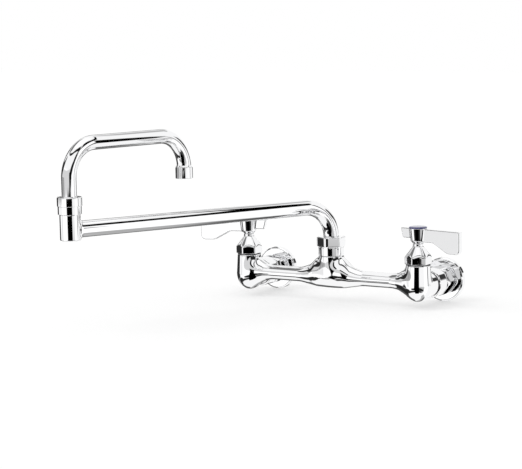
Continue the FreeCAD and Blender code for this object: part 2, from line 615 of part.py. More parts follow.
def make_valve(side, axis_x):
    """Quarter-turn ceramic valve of one side, in its tower, with the bonnet over it."""
    spot = (axis_x, "-valve_reach", "0")
    barrel_bore = "sleeve_radius - sleeve_wall"
    sleeve_bottom = "seat_level + seal_thickness"
    fixed_top = f"{sleeve_bottom} + disc_thickness"
    moving_top = f"{fixed_top} + disc_thickness"
    neck_bore = "stem_radius + running_gap"

    turned(f"{side}_seat_seal", [
        ("seal_bore", "seat_level"),
        ("sleeve_radius", "seat_level"),
        ("sleeve_radius", sleeve_bottom),
        ("seal_bore", sleeve_bottom),
    ], spot)
    sleeve = turned(f"{side}_cartridge_sleeve", [
        (barrel_bore, sleeve_bottom),
        ("sleeve_radius", sleeve_bottom),
        ("sleeve_radius", "sleeve_flange"),
        ("cavity_radius - thread_gap", "sleeve_flange"),
        ("cavity_radius - thread_gap", "sleeve_seat"),
        ("sleeve_neck", "sleeve_seat"),
        ("sleeve_neck", "sleeve_top"),
        (neck_bore, "sleeve_top"),
        (neck_bore, "sleeve_roof"),
        (barrel_bore, "sleeve_roof"),
    ], spot)
    drill(sleeve, "window_radius", "2 * cavity_radius", ("-cavity_radius", "0", "window_height"), "X")

    disc_radius = f"{barrel_bore} - thread_gap"
    for name, low, high, along in (("fixed_disc", sleeve_bottom, fixed_top, "x"),
                                   ("moving_disc", fixed_top, moving_top, "y")):
        disc = turned(f"{side}_{name}", [
            ("0", low), (disc_radius, low), (disc_radius, high), ("0", high),
        ], spot)
        for way in ("disc_offset", "-disc_offset"):
            hole = (way, "0", low) if along == "x" else ("0", way, low)
            drill(disc, "disc_hole", "disc_thickness", hole)

    clip_low = "sleeve_top + running_gap"
    clip_high = f"{clip_low} + clip_thickness + running_gap"
    groove = "stem_radius - 2 * ring_section"
    profile = [
        ("0", moving_top),
        ("stem_foot", moving_top),
        ("stem_foot", "sleeve_roof - free_gap"),
        ("stem_radius", "sleeve_roof - free_gap"),
    ]
    for height in ("ring_height", "ring_height + ring_spacing"):
        profile += [
            ("stem_radius", f"{height} - ring_section"),
            (groove, f"{height} - ring_section"),
            (groove, f"{height} + ring_section"),
            ("stem_radius", f"{height} + ring_section"),
        ]
    profile += [
        ("stem_radius", "sleeve_top"),
        ("clip_groove", "sleeve_top"),
        ("clip_groove", clip_high),
        ("stem_broach", clip_high),
        ("stem_broach", "stem_top"),
        ("screw_radius + running_gap", "stem_top"),
        ("screw_radius + running_gap", "stem_top - screw_length"),
        ("0", "stem_top - screw_length"),
    ]
    turned(f"{side}_stem", profile, spot)
    rings = [solid_of("Torus", (axis_x, "-valve_reach", height),
                      Radius1="stem_radius - ring_section", Radius2="ring_section")
             for height in ("ring_height", "ring_height + ring_spacing")]
    node(fuse(rings, f"{side}_stem_rings"), f"{side}_stem_rings")
    turned(f"{side}_stem_clip", [
        ("clip_groove + running_gap", clip_low),
        ("clip_radius", clip_low),
        ("clip_radius", f"{clip_low} + clip_thickness"),
        ("clip_groove + running_gap", f"{clip_low} + clip_thickness"),
    ], spot)

    hexagon = "rim_height + gasket_thickness"
    bonnet_bore = "stem_broach + free_gap"
    turned(f"{side}_bonnet_gasket", [
        ("bonnet_thread + thread_gap", "rim_height"),
        ("rim_radius", "rim_height"),
        ("rim_radius", hexagon),
        ("bonnet_thread + thread_gap", hexagon),
    ], spot)
    bonnet = turned(f"{side}_bonnet", [
        ("sleeve_neck + free_gap", "sleeve_seat"),
        ("bonnet_thread", "sleeve_seat"),
        ("bonnet_thread", hexagon),
        ("bonnet_corner", hexagon),
        ("bonnet_corner", "bonnet_slope"),
        ("bonnet_neck", "bonnet_cone"),
        ("bonnet_neck", "bonnet_top"),
        (bonnet_bore, "bonnet_top"),
        (bonnet_bore, "bonnet_roof"),
        ("sleeve_neck + free_gap", "bonnet_roof"),
    ], spot)
    cut_flats(bonnet, "bonnet_flats", hexagon, "bonnet_cone", "bonnet_corner")


def make_handle(side, sign):
    """Wrist-blade handle of one side with its screw and index button, in the hub's own frame."""
    axis_x = f"{sign} * supply_centres / 2"
    spot = (axis_x, "-valve_reach", "hub_height")
    turn = f"-({sign} * blade_turn)"

    handle = new_body(f"{side}_handle", spot, turn)
    outline = [
        ("-tail_length", "blade_top"),
        ("blade_length", "blade_top"),
        ("blade_length", "-blade_depth"),
        ("blade_heel", "-blade_depth"),
        ("blade_neck", "blade_root"),
        ("0", "blade_root"),
        ("0", "tail_root"),
        ("tail_slant - tail_length", "tail_root"),
    ]
    sketch = new_sketch(handle, "XZ_Plane")
    draw_outline(sketch, [(f"{sign} * ({across})", up) for across, up in outline])
    blade = handle.newObject("PartDesign::Pad", "Blade")
    blade.Profile = sketch
    blade.SideType = "Symmetric"
    bind(blade, "Length", "blade_thickness")

    def at_corner(across, up):
        """Picks the edges that run through the blade's thickness at one corner of its outline."""
        target = (sign * value(across), value(up))
        def chosen(edge):
            ends = [vertex.Point for vertex in edge.Vertexes]
            return len(ends) == 2 and all(
                abs(point.x - target[0]) < 1e-3 and abs(point.z - target[1]) < 1e-3
                for point in ends)
        return chosen

    round_edges(handle, "blade_corner", at_corner("blade_length", "-blade_depth"))
    for corner in (("blade_heel", "-blade_depth"), ("blade_neck", "blade_root")):
        round_edges(handle, "blade_curve", at_corner(*corner))
    revolve(handle, [
        ("0", "0"),
        ("hub_foot", "0"),
        ("hub_waist", "hub_round"),
        ("hub_crown", "hub_length"),
        ("0", "hub_length"),
    ])
    web = "hub_socket + hub_web"
    socket = "stem_broach + braze_gap"
    for profile in (
        [("0", "0"), (socket, "0"), (socket, "hub_socket"), ("0", "hub_socket")],
        [("0", "hub_socket"), ("screw_radius + thread_gap", "hub_socket"),
         ("screw_radius + thread_gap", web), ("0", web)],
        [("0", web), ("recess_radius", web), ("recess_radius", "hub_length"), ("0", "hub_length")],
    ):
        revolve(handle, profile, cut=True)

    screw = turned(f"{side}_handle_screw", [
        ("0", f"{web} - screw_length"),
        ("screw_radius", f"{web} - screw_length"),
        ("screw_radius", web),
        ("screw_head", web),
        ("screw_head", f"{web} + head_thickness"),
        ("0", f"{web} + head_thickness"),
    ], spot, turn=turn)
    slot = new_sketch(screw, "XY_Plane", f"{web} + head_thickness - slot_depth")
    ends = [(f"{a} * (screw_head + free_gap)", f"{b} * slot_width / 2")
            for a, b in ((-1, -1), (1, -1), (1, 1), (-1, 1))]
    draw_outline(slot, ends)
    pocket = screw.newObject("PartDesign::Pocket", "Slot")
    pocket.Profile = slot
    pocket.Reversed = True
    bind(pocket, "Length", "slot_depth")

    turned(f"{side}_index_button", [
        ("0", "hub_length - index_spigot"),
        ("recess_radius - thread_gap", "hub_length - index_spigot"),
        ("recess_radius - thread_gap", "hub_length"),
        ("index_radius", "hub_length"),
        ("index_radius", "hub_length + index_thickness / 2"),
        ("index_radius - index_thickness", "hub_length + index_thickness"),
        ("0", "hub_length + index_thickness"),
    ], spot, turn=turn)


# ---- spouts ---------------------------------------------------------------------------------

RISER = ("0", "-valve_reach", "0")
SWIVEL = ("primary_reach * sin(primary_turn)", "-valve_reach - primary_reach * cos(primary_turn)", "0")


def make_bearing(prefix, tube, bore, mouth, flange_radius, flange, length, groove, spot, turn):
    """Bearing brazed on a tube's foot, with its O-ring, running in a bore that opens at mouth."""
    outer = f"{bore} - running_gap"
    inner = f"{tube} + braze_gap"
    seat = f"{mouth} + running_gap"
    foot = f"{seat} - {length}"
    ring_low = f"{foot} + {length} / 3 - {groove} / 2"
    turned(f"{prefix}_bearing", [
        (inner, foot),
        (outer, foot),
        (outer, ring_low),
        (f"{outer} - {groove}", ring_low),
        (f"{outer} - {groove}", f"{ring_low} + {groove}"),
        (outer, f"{ring_low} + {groove}"),
        (outer, seat),
        (flange_radius, seat),
        (flange_radius, f"{seat} + {flange}"),
        (inner, f"{seat} + {flange}"),
    ], spot, turn=turn)
    o_ring(f"{prefix}_bearing_ring", f"{outer} - {groove} / 2", f"{groove} / 2 - braze_gap / 2",
           (spot[0], spot[1], f"{ring_low} + {groove} / 2"))
    return foot, f"{seat} + {flange}"


def make_primary_spout():
    """Spout nut on the riser, and the primary tube with the swivel socket at its end."""
    bearing_radius = "riser_thread - free_gap"
    foot, bearing_top = make_bearing(
        "primary", "primary_radius", "riser_bore", "riser_mouth", bearing_radius,
        "bearing_flange", "bearing_length", "bearing_groove", RISER, "primary_turn")
    nut_seat = "spout_nut_top - spout_nut_lip"
    turned("spout_thrust_ring", [
        ("primary_radius + free_gap", f"{bearing_top} + running_gap"),
        (bearing_radius, f"{bearing_top} + running_gap"),
        (bearing_radius, nut_seat),
        ("primary_radius + free_gap", nut_seat),
    ], RISER)
    nut_bore = "riser_thread + thread_gap"
    nut = turned("spout_nut", [
        (nut_bore, "riser_top + free_gap"),
        ("spout_nut_skirt", "riser_top + free_gap"),
        ("spout_nut_skirt", "spout_nut_step"),
        ("spout_nut_corner", "spout_nut_step + free_gap"),
        ("spout_nut_corner", "spout_nut_top - 2 * free_gap"),
        ("spout_nut_skirt", "spout_nut_top"),
        ("primary_radius + free_gap", "spout_nut_top"),
        ("primary_radius + free_gap", nut_seat),
        (nut_bore, nut_seat),
    ], RISER)
    cut_flats(nut, "spout_nut_flats", "spout_nut_step", "spout_nut_top", "spout_nut_corner")

    tube = bent_tube("primary_spout_tube", "primary_radius", foot, [
        ("0", "primary_height - bend_radius"),
        ("bend_radius", "primary_height"),
        ("primary_reach - socket_radius / 2", "primary_height"),
    ], RISER, "primary_turn")
    cope = drill(tube, "socket_radius + braze_gap", "4 * primary_radius",
                 ("0", "-primary_reach", "primary_height - 2 * primary_radius"))
    cope.Label = "saddle_cut"

    socket = turned("swivel_socket", [
        ("0", "socket_bottom"),
        ("socket_radius", "socket_bottom"),
        ("socket_radius", "socket_step"),
        ("socket_thread", "socket_step"),
        ("socket_thread", "socket_mouth"),
        ("socket_bore", "socket_mouth"),
        ("socket_bore", "socket_bottom + socket_floor"),
        ("0", "socket_bottom + socket_floor"),
    ], SWIVEL, turn="primary_turn")
    drill(socket, "primary_radius - tube_wall", "socket_radius + braze_gap",
          ("0", "0", "primary_height"), "Y")


def make_outlet_spout():
    """Swivel nut, and the outlet tube with its bearing, adapter and flow straightener."""
    tip_bottom = "outlet_height - tip_drop"
    tip_shoulder = f"{tip_bottom} + tip_length"
    tube_end = f"{tip_bottom} + tube_inset"
    bearing_radius = "socket_thread - free_gap"
    foot, bearing_top = make_bearing(
        "outlet", "outlet_radius", "socket_bore", "socket_mouth", bearing_radius,
        "swivel_flange", "swivel_length", "swivel_groove", SWIVEL, "outlet_turn")
    nut_seat = "swivel_nut_top - swivel_nut_lip"
    hole = "outlet_radius + free_gap"
    turned("swivel_thrust_ring", [
        (hole, f"{bearing_top} + running_gap"),
        (bearing_radius, f"{bearing_top} + running_gap"),
        (bearing_radius, nut_seat),
        (hole, nut_seat),
    ], SWIVEL)
    nut_bore = "socket_thread + thread_gap"
    turned("swivel_nut", [
        (nut_bore, "socket_step + thread_gap"),
        ("swivel_nut_low", "socket_step + thread_gap"),
        ("swivel_nut_low", "swivel_nut_step"),
        ("swivel_nut_high", "swivel_nut_step + free_gap"),
        ("swivel_nut_high", "swivel_nut_top - free_gap"),
        ("swivel_nut_high - free_gap", "swivel_nut_top"),
        (hole, "swivel_nut_top"),
        (hole, nut_seat),
        (nut_bore, nut_seat),
    ], SWIVEL)
    bent_tube("outlet_spout_tube", "outlet_radius", foot, [
        ("0", "outlet_height - bend_radius"),
        ("bend_radius", "outlet_height"),
        ("outlet_reach - bend_radius", "outlet_height"),
        ("outlet_reach", "outlet_height - bend_radius"),
        ("outlet_reach", tube_end),
    ], SWIVEL, "outlet_turn")

    tip = ("primary_reach * sin(primary_turn) + outlet_reach * sin(outlet_turn)",
           "-valve_reach - primary_reach * cos(primary_turn) - outlet_reach * cos(outlet_turn)",
           "0")
    adapter_bore = "outlet_radius + braze_gap"
    adapter_foot = f"{tube_end} - free_gap"
    turned("outlet_adapter", [
        (adapter_bore, adapter_foot),
        ("tip_thread", adapter_foot),
        ("tip_thread", tip_shoulder),
        ("tip_radius", tip_shoulder),
        (f"{adapter_bore} + free_gap", f"{tip_shoulder} + tip_cone"),
        (adapter_bore, f"{tip_shoulder} + tip_cone"),
    ], tip)
    shell_bore = "tip_thread + thread_gap"
    turned("outlet_housing", [
        ("tip_opening", tip_bottom),
        ("tip_radius", tip_bottom),
        ("tip_radius", f"{tip_shoulder} - thread_gap"),
        (shell_bore, f"{tip_shoulder} - thread_gap"),
        (shell_bore, f"{tip_bottom} + tip_lip"),
        ("tip_opening", f"{tip_bottom} + tip_lip"),
    ], tip)
    level = f"{tip_bottom} + tip_lip"
    inner = "tip_thread - running_gap"
    straightener = turned("flow_straightener", [
        ("0", level), (inner, level), (inner, f"{level} + insert_height"),
        ("0", f"{level} + insert_height"),
    ], tip)
    drill(straightener, "insert_hole", "insert_height", ("0", "0", level))
    for turn in range(0, 360, 60):
        drill(straightener, "insert_hole", "insert_height",
              (f"insert_ring * cos({turn})", f"insert_ring * sin({turn})", level))
    level = f"{level} + insert_height"
    turned("outlet_screen", [
        ("0", level), (inner, level), (inner, f"{level} + screen_thickness"),
        ("0", f"{level} + screen_thickness"),
    ], tip)
    level = f"{level} + screen_thickness"
    turned("outlet_washer", [
        ("insert_ring + insert_hole", level), (inner, level),
        (inner, f"{level} + tip_washer"), ("insert_ring + insert_hole", f"{level} + tip_washer"),
    ], tip)


# ---- whole faucet ---------------------------------------------------------------------------

make_faucet_body()
for side_name, side_sign in SIDES.items():
    valve_axis = f"{side_sign} * supply_centres / 2"
    make_inlet(side_name, valve_axis)
    make_valve(side_name, valve_axis)
    make_handle(side_name, side_sign)
make_primary_spout()
make_outlet_spout()
doc.recompute()

faults = [f"{item.Name}: {item.State}" for item in doc.Objects
          if {"Invalid", "Error"} & set(item.State)]
faults += [f"{item.Label}: no valid shape" for item in nodes
           if item.Shape.isNull() or not item.Shape.isValid() or not item.Shape.Solids]
if faults:
    raise RuntimeError("\n".join(faults))

os.makedirs("parts", exist_ok=True)
for item in nodes:
    item.Shape.exportStep(f"parts/{item.Label}.step")
    print(f"{item.Label}: {len(item.Shape.Solids)} solid, {item.Shape.Volume:.1f} mm3")
print(f"{len(nodes)} nodes")
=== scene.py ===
"""Looks of a chrome wall-mount mixing faucet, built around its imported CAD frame."""
import json
import math

import bpy
import numpy as np
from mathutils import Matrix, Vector


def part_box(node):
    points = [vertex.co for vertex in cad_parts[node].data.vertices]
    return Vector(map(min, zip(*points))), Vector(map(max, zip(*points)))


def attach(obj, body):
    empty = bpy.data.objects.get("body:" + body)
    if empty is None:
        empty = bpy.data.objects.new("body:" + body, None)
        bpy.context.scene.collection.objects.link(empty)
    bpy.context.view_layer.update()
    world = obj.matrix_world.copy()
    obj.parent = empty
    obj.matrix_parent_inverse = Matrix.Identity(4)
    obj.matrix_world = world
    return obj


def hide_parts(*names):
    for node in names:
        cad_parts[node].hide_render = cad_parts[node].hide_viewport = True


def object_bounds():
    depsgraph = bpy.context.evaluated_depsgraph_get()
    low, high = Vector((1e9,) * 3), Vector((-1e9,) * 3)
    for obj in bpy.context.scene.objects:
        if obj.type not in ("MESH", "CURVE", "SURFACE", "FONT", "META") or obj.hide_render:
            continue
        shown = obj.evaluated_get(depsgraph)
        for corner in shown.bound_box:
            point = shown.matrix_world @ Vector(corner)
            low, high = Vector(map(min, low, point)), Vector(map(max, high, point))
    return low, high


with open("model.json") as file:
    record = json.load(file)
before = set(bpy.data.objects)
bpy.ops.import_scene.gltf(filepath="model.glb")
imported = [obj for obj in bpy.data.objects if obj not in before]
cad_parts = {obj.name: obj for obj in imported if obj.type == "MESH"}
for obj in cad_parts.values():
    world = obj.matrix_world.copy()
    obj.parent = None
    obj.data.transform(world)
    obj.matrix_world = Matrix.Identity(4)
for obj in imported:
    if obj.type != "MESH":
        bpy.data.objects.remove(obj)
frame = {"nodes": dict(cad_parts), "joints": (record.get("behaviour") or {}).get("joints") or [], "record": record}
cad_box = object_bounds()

MM = 0.001
FINE = 1.0


# ---- places read from the frame (millimetres) -------------------------------------------------

def node_box(node):
    """Lowest and highest corner of a CAD node in millimetres."""
    low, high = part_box(node)
    return np.array(low) / MM, np.array(high) / MM


PIVOT = {joint["child"]: np.array(joint["pos_m"]) / MM for joint in frame["joints"]}
RISER, SWIVEL = PIVOT["primary_spout"], PIVOT["outlet_spout"]
VALVE = {"hot": PIVOT["hot_valve"], "cold": PIVOT["cold_valve"]}
SIDES = {"hot": -1, "cold": 1}
tip_low, tip_high = node_box("outlet_housing")
TIP = (tip_low + tip_high) / 2
SPAN = VALVE["cold"][0]
REACH = -RISER[1]


def heading(start, stop):
    """Level unit direction from one upright axis to another."""
    way = np.array([stop[0] - start[0], stop[1] - start[1], 0.0])
    return way / np.linalg.norm(way)


PRIMARY_WAY, OUTLET_WAY = heading(RISER, SWIVEL), heading(SWIVEL, TIP)
PRIMARY_REACH = np.linalg.norm((SWIVEL - RISER)[:2])
OUTLET_REACH = np.linalg.norm((TIP - SWIVEL)[:2])
UP = np.array([0.0, 0.0, 1.0])


# ---- meshes with exact normals ----------------------------------------------------------------

def add_piece(name, points, faces, normals, body, finish, stands_for=(), per_corner=True):
    """Adds a smooth mesh (millimetres) with its own normals and lets it ride on a CAD body."""
    mesh = bpy.data.meshes.new(name)
    mesh.from_pydata((np.asarray(points) * MM).tolist(), [], faces)
    mesh.polygons.foreach_set("use_smooth", [True] * len(mesh.polygons))
    if per_corner:
        mesh.normals_split_custom_set(normals)
    else:
        mesh.normals_split_custom_set_from_vertices(normals)
    mesh.materials.append(finish)
    item = bpy.data.objects.new(name, mesh)
    bpy.context.scene.collection.objects.link(item)
    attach(item, body)
    if stands_for:
        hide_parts(*stands_for)
    return item


def unit(way):
    """A vector's direction."""
    return way / max(np.linalg.norm(way), 1e-12)


def rounded(corners, closed=True, steps=5):
    """Points of an outline whose corners (u, v[, radius]) are rounded, with the unit normal to the
    right of travel that each point has on the stretch before it and on the stretch after it."""
    count = len(corners)
    flat = [np.array(corner[:2], float) for corner in corners]
    points, before, after = [], [], []
    for i, corner in enumerate(corners):
        here, radius = flat[i], corner[2] if len(corner) > 2 else 0.0
        into = unit(here - flat[i - 1]) if closed or i else None
        out = unit(flat[(i + 1) % count] - here) if closed or i < count - 1 else into
        into = out if into is None else into
        side_in, side_out = np.array([into[1], -into[0]]), np.array([out[1], -out[0]])
        turn = math.atan2(into[0] * out[1] - into[1] * out[0], into @ out)
        if not radius or abs(turn) < 1e-6:
            points.append(here)
            before.append(side_in)
            after.append(side_out)
            continue
        start = here - into * radius * math.tan(abs(turn) / 2)
        hand = 1.0 if turn > 0 else -1.0
        centre = start - side_in * hand * radius
        for step in range(steps + 1):
            angle = turn * step / steps
            normal = np.array([side_in[0] * math.cos(angle) - side_in[1] * math.sin(angle),
                               side_in[0] * math.sin(angle) + side_in[1] * math.cos(angle)])
            points.append(centre + normal * hand * radius)
            before.append(normal)
            after.append(normal)
    return np.array(points), np.array(before), np.array(after)


def lathe(name, corners, spot, body, finish, stands_for=(), axis="Z", around=128, steps=6):
    """A piece turned about an axis from a closed outline (radius, height), anticlockwise."""
    points, before, after = rounded(corners, steps=steps)
    around = int(around * FINE)
    turns = np.arange(around) * 2 * math.pi / around
    ring = np.stack([np.cos(turns), np.sin(turns)], 1)
    frame_axes = {"Z": np.eye(3), "Y": np.array([[1, 0, 0], [0, 0, -1], [0, 1, 0]], float)}[axis]

    def spread(radius, height):
        flat = np.column_stack([ring * radius, np.full(around, height)])
        return flat @ frame_axes

    places, rows = [], []
    for radius, height in points:
        if radius < 1e-6:
            rows.append([len(places)] * around)
            places.append(np.array([0, 0, height]) @ frame_axes)
        else:
            rows.append(list(range(len(places), len(places) + around)))
            places.extend(spread(radius, height))
    faces, normals = [], []
    for i in range(len(points)):
        j = (i + 1) % len(points)
        if points[i][0] < 1e-6 and points[j][0] < 1e-6:
            continue
        low, high = spread(after[i][0], after[i][1]), spread(before[j][0], before[j][1])
        for k in range(around):
            m = (k + 1) % around
            loop = [(rows[i][k], low[k]), (rows[i][m], low[m]),
                    (rows[j][m], high[m]), (rows[j][k], high[k])]
            if rows[i][k] == rows[i][m]:
                loop.pop(1)
            if rows[j][k] == rows[j][m]:
                loop.pop(2)
            faces.append([entry[0] for entry in loop])
            normals.extend(entry[1] for entry in loop)
    return add_piece(name, np.array(places) + spot, faces, normals, body, finish, stands_for)


def bent_tube(name, outer, wall, route, bend, body, finish, stands_for=(), around=64):
    """A round tube with an open bore along a route in an upright plane. The route is its spot, the
    level direction of the plane and its corners (out, up)."""
    spot, way, corners = route
    line, _, side = rounded([(*corner, bend) if 0 < i < len(corners) - 1 else corner
                             for i, corner in enumerate(corners)], closed=False, steps=int(40 * FINE))
    across = np.cross(way, UP)
    turns = np.arange(around) * 2 * math.pi / around
    centres = spot + np.outer(line[:, 0], way) + np.outer(line[:, 1], UP)
    sides = np.outer(side[:, 0], way) + np.outer(side[:, 1], UP)
    ways = np.cross(across, sides)
    radial = (sides[:, None, :] * np.cos(turns)[None, :, None]
              - across[None, None, :] * np.sin(turns)[None, :, None])
    count = len(line)
    places = np.concatenate([(centres[:, None, :] + radial * radius).reshape(-1, 3)
                             for radius in (outer, outer - wall)])
    faces, normals = [], []

    def add(corner_list):
        faces.append([index for index, _ in corner_list])
        normals.extend(normal for _, normal in corner_list)

    inner = count * around
    for i in range(count - 1):
        for k in range(around):
            m = (k + 1) % around
            near = [(i * around + k, radial[i, k]), (i * around + m, radial[i, m]),
                    ((i + 1) * around + m, radial[i + 1, m]), ((i + 1) * around + k, radial[i + 1, k])]
            add(near)
            add([(inner + index, -normal) for index, normal in reversed(near)])
    for i, hand in ((0, -1), (count - 1, 1)):
        for k in range(around):
            m = (k + 1) % around
            ring = [i * around + k, i * around + m, inner + i * around + m, inner + i * around + k]
            add([(index, ways[i] * hand) for index in (ring if hand > 0 else ring[::-1])])
    return add_piece(name, places, faces, normals, body, finish, stands_for)


# ---- shapes as distance fields ----------------------------------------------------------------

def union(first, second, blend=0.0):
    """Joined shapes, with a smooth fillet about blend wide."""
    if not blend:
        return np.minimum(first, second)
    near = np.maximum(blend - np.abs(first - second), 0.0) / blend
    return np.minimum(first, second) - near ** 3 * blend / 6


def common(first, second, blend=0.0):
    """What two shapes share, with a rounded edge."""
    return -union(-first, -second, blend)


def cut(shape, tool, blend=0.0):
    """A shape with a tool taken out of it."""
    return common(shape, -tool, blend)


def slab(along, low, high):
    """Between two planes."""
    return np.maximum(low - along, along - high)


def outline_field(corners, steps=5):
    """Signed distance in a plane to a closed outline with rounded corners."""
    points = rounded(corners, steps=steps)[0]
    edges = [(a, b) for a, b in zip(points, np.roll(points, -1, 0)) if np.linalg.norm(b - a) > 1e-9]

    def field(across, up):
        nearest = np.full(across.shape, 1e12)
        inside = np.zeros(across.shape, bool)
        for a, b in edges:
            edge = b - a
            u, v = across - a[0], up - a[1]
            share = np.clip((u * edge[0] + v * edge[1]) / (edge @ edge), 0, 1)
            nearest = np.minimum(nearest, (u - edge[0] * share) ** 2 + (v - edge[1] * share) ** 2)
            if edge[1]:
                inside ^= ((a[1] > up) != (b[1] > up)) & (u < edge[0] * v / edge[1])
        return np.where(inside, -1.0, 1.0) * np.sqrt(nearest)
    return field


# Below its step a turned piece is round: there the hexagon is replaced by a distance deep inside.
INSIDE, HEX_LEAD = -9.0, 1.0


def hexagon(across, along, flats, turn=0.0):
    """Prism of six flats; turn is the angle of the first flat's normal."""
    reach = np.full(across.shape, -1e9)
    for side in range(6):
        angle = turn + side * math.pi / 3
        reach = np.maximum(reach, across * math.cos(angle) + along * math.sin(angle))
    return reach - flats / 2


def field_mesh(field, low, high, cell):
    """Quads over the surface where a field is 0 inside a box, with the field's own normals."""
    low, high = np.array(low, float), np.array(high, float)
    size = np.ceil((high - low) / cell).astype(int) + 1
    axes = [low[k] + cell * np.arange(size[k]) for k in range(3)]
    values = np.stack([field(np.stack(np.meshgrid([x], axes[1], axes[2], indexing="ij"), -1)
                             .reshape(-1, 3)).reshape(size[1:]) for x in axes[0]])
    inside = values < 0
    corners = [(i, j, k) for i in (0, 1) for j in (0, 1) for k in (0, 1)]

    def shifted(corner):
        return tuple(slice(c, n - 1 + c) for c, n in zip(corner, size))

    filled = sum(inside[shifted(corner)].astype(np.int8) for corner in corners)
    mixed = (filled > 0) & (filled < 8)
    index = np.full(mixed.shape, -1)
    index[mixed] = np.arange(mixed.sum())
    cells = np.argwhere(mixed)
    total, hits = np.zeros((len(cells), 3)), np.zeros(len(cells))
    for axis in range(3):
        for corner in corners:
            if corner[axis]:
                continue
            other = tuple(1 if k == axis else c for k, c in enumerate(corner))
            a, b = values[tuple((cells + corner).T)], values[tuple((cells + other).T)]
            crossed = (a < 0) != (b < 0)
            place = (cells + corner).astype(float)
            place[:, axis] += np.where(crossed, a / np.where(crossed, a - b, 1.0), 0.0)
            total[crossed] += place[crossed]
            hits[crossed] += 1
    points = low + cell * total / hits[:, None]
    faces = []
    for axis in range(3):
        one, two = (axis + 1) % 3, (axis + 2) % 3
        here = [slice(1, -1)] * 3
        here[axis] = slice(0, -1)
        there = list(here)
        there[axis] = slice(1, None)
        first, second = inside[tuple(here)], inside[tuple(there)]
        for where, flip in ((first & ~second, False), (second & ~first, True)):
            at = np.argwhere(where)
            at[:, one] += 1
            at[:, two] += 1
            quad = []
            for step_one, step_two in ((-1, -1), (0, -1), (0, 0), (-1, 0)):
                place = at.copy()
                place[:, one] += step_one
                place[:, two] += step_two
                quad.append(index[tuple(place.T)])
            quad = np.stack(quad[::-1] if flip else quad, 1)
            faces.append(quad)
    faces = np.concatenate(faces)
    step = cell * 0.02

    def slope(places):
        return np.stack([field(places + step * axis) - field(places - step * axis)
                         for axis in np.eye(3)], 1) / (2 * step)

    for _ in range(4):
        grade = slope(points)
        move = (field(points) / np.maximum((grade ** 2).sum(1), 1e-3))[:, None] * grade
        reach = np.linalg.norm(move, axis=1, keepdims=True)
        points = points - move * np.minimum(1, 0.5 * cell / np.maximum(reach, 1e-9))
    grade = slope(points)
    return points, faces.tolist(), grade / np.maximum(np.linalg.norm(grade, axis=1), 1e-9)[:, None]


def field_piece(name, field, low, high, cell, body, finish, slot, stands_for=()):
    """A piece whose surface is where a field is 0."""
    points, faces, normals = field_mesh(field, low, high, cell / FINE)
    return add_piece(name, points, faces, normals.tolist(), body, finish, stands_for,
                     per_corner=False)


FINE_CELL, MARGIN = 0.4, 1.2


def box_about(spot, low, high, reach, axis=2, margin=MARGIN):
    """Two corners of a box about an axis of the frame, from low to high along it, with a margin."""
    corners = []
    for end, hand in ((low - margin, -1), (high + margin, 1)):
        corner = np.full(3, hand * reach)
        corner[axis] = end
        corners.append(spot + corner)
    return corners


# ---- materials --------------------------------------------------------------------------------

def node_tree(owner):
    """Nodes and links of a material or world."""
    owner.use_nodes = True
    return owner.node_tree.nodes, owner.node_tree.links


def material(name, colour, metallic, roughness, rough_spread, scale, tint, coat=0.0,
             bump=0.0, bump_scale=60.0):
    """Principled finish whose colour, roughness and relief vary with noise in object space."""
    made = bpy.data.materials.new(name)
    nodes, links = node_tree(made)
    shader = nodes["Principled BSDF"]
    shader.inputs["Metallic"].default_value = metallic
    shader.inputs["Coat Weight"].default_value = coat
    shader.inputs["IOR"].default_value = 1.45
    spot = nodes.new("ShaderNodeTexCoord")

    def noise(size, detail):
        item = nodes.new("ShaderNodeTexNoise")
        item.inputs["Scale"].default_value = size
        item.inputs["Detail"].default_value = detail
        links.new(spot.outputs["Object"], item.inputs["Vector"])
        return item

    grain = noise(scale, 3.0)
    rough = nodes.new("ShaderNodeMapRange")
    rough.inputs["To Min"].default_value = max(roughness - rough_spread, 0.0)
    rough.inputs["To Max"].default_value = roughness + rough_spread
    links.new(grain.outputs["Fac"], rough.inputs["Value"])
    links.new(rough.outputs["Result"], shader.inputs["Roughness"])
    mix = nodes.new("ShaderNodeMix")
    mix.data_type = "RGBA"
    mix.inputs["A"].default_value = (*[c * (1 - tint) for c in colour], 1)
    mix.inputs["B"].default_value = (*[min(1.0, c * (1 + tint)) for c in colour], 1)
    links.new(grain.outputs["Fac"], mix.inputs["Factor"])
    links.new(mix.outputs["Result"], shader.inputs["Base Color"])
    if bump:
        swell = noise(bump_scale, 1.0)
        relief = nodes.new("ShaderNodeBump")
        relief.inputs["Strength"].default_value = bump
        relief.inputs["Distance"].default_value = MM
        links.new(swell.outputs["Fac"], relief.inputs["Height"])
        links.new(relief.outputs["Normal"], shader.inputs["Normal"])
    return made


CHROME = (0.93, 0.932, 0.94)
turned_chrome = material("turned_chrome", CHROME, 1.0, 0.03, 0.015, scale=300, tint=0.01)
cast_chrome = material("cast_chrome", CHROME, 1.0, 0.035, 0.02, scale=150, tint=0.01,
                       bump=0.02, bump_scale=90)
tube_chrome = material("tube_chrome", CHROME, 1.0, 0.03, 0.015, scale=250, tint=0.01)
brass = material("machined_brass", (0.80, 0.60, 0.28), 1.0, 0.22, 0.08, scale=900, tint=0.05)
rubber = material("seal_rubber", (0.035, 0.035, 0.04), 0.0, 0.6, 0.12, scale=1500, tint=0.2)
acetal = material("acetal", (0.84, 0.83, 0.78), 0.0, 0.35, 0.08, scale=700, tint=0.02)
steel = material("stainless", (0.62, 0.62, 0.61), 1.0, 0.25, 0.1, scale=1200, tint=0.04)
alumina = material("alumina", (0.88, 0.88, 0.86), 0.0, 0.12, 0.04, scale=800, tint=0.01)
index_hot = material("index_red", (0.30, 0.02, 0.02), 0.0, 0.16, 0.04, scale=500, tint=0.08, coat=0.5)
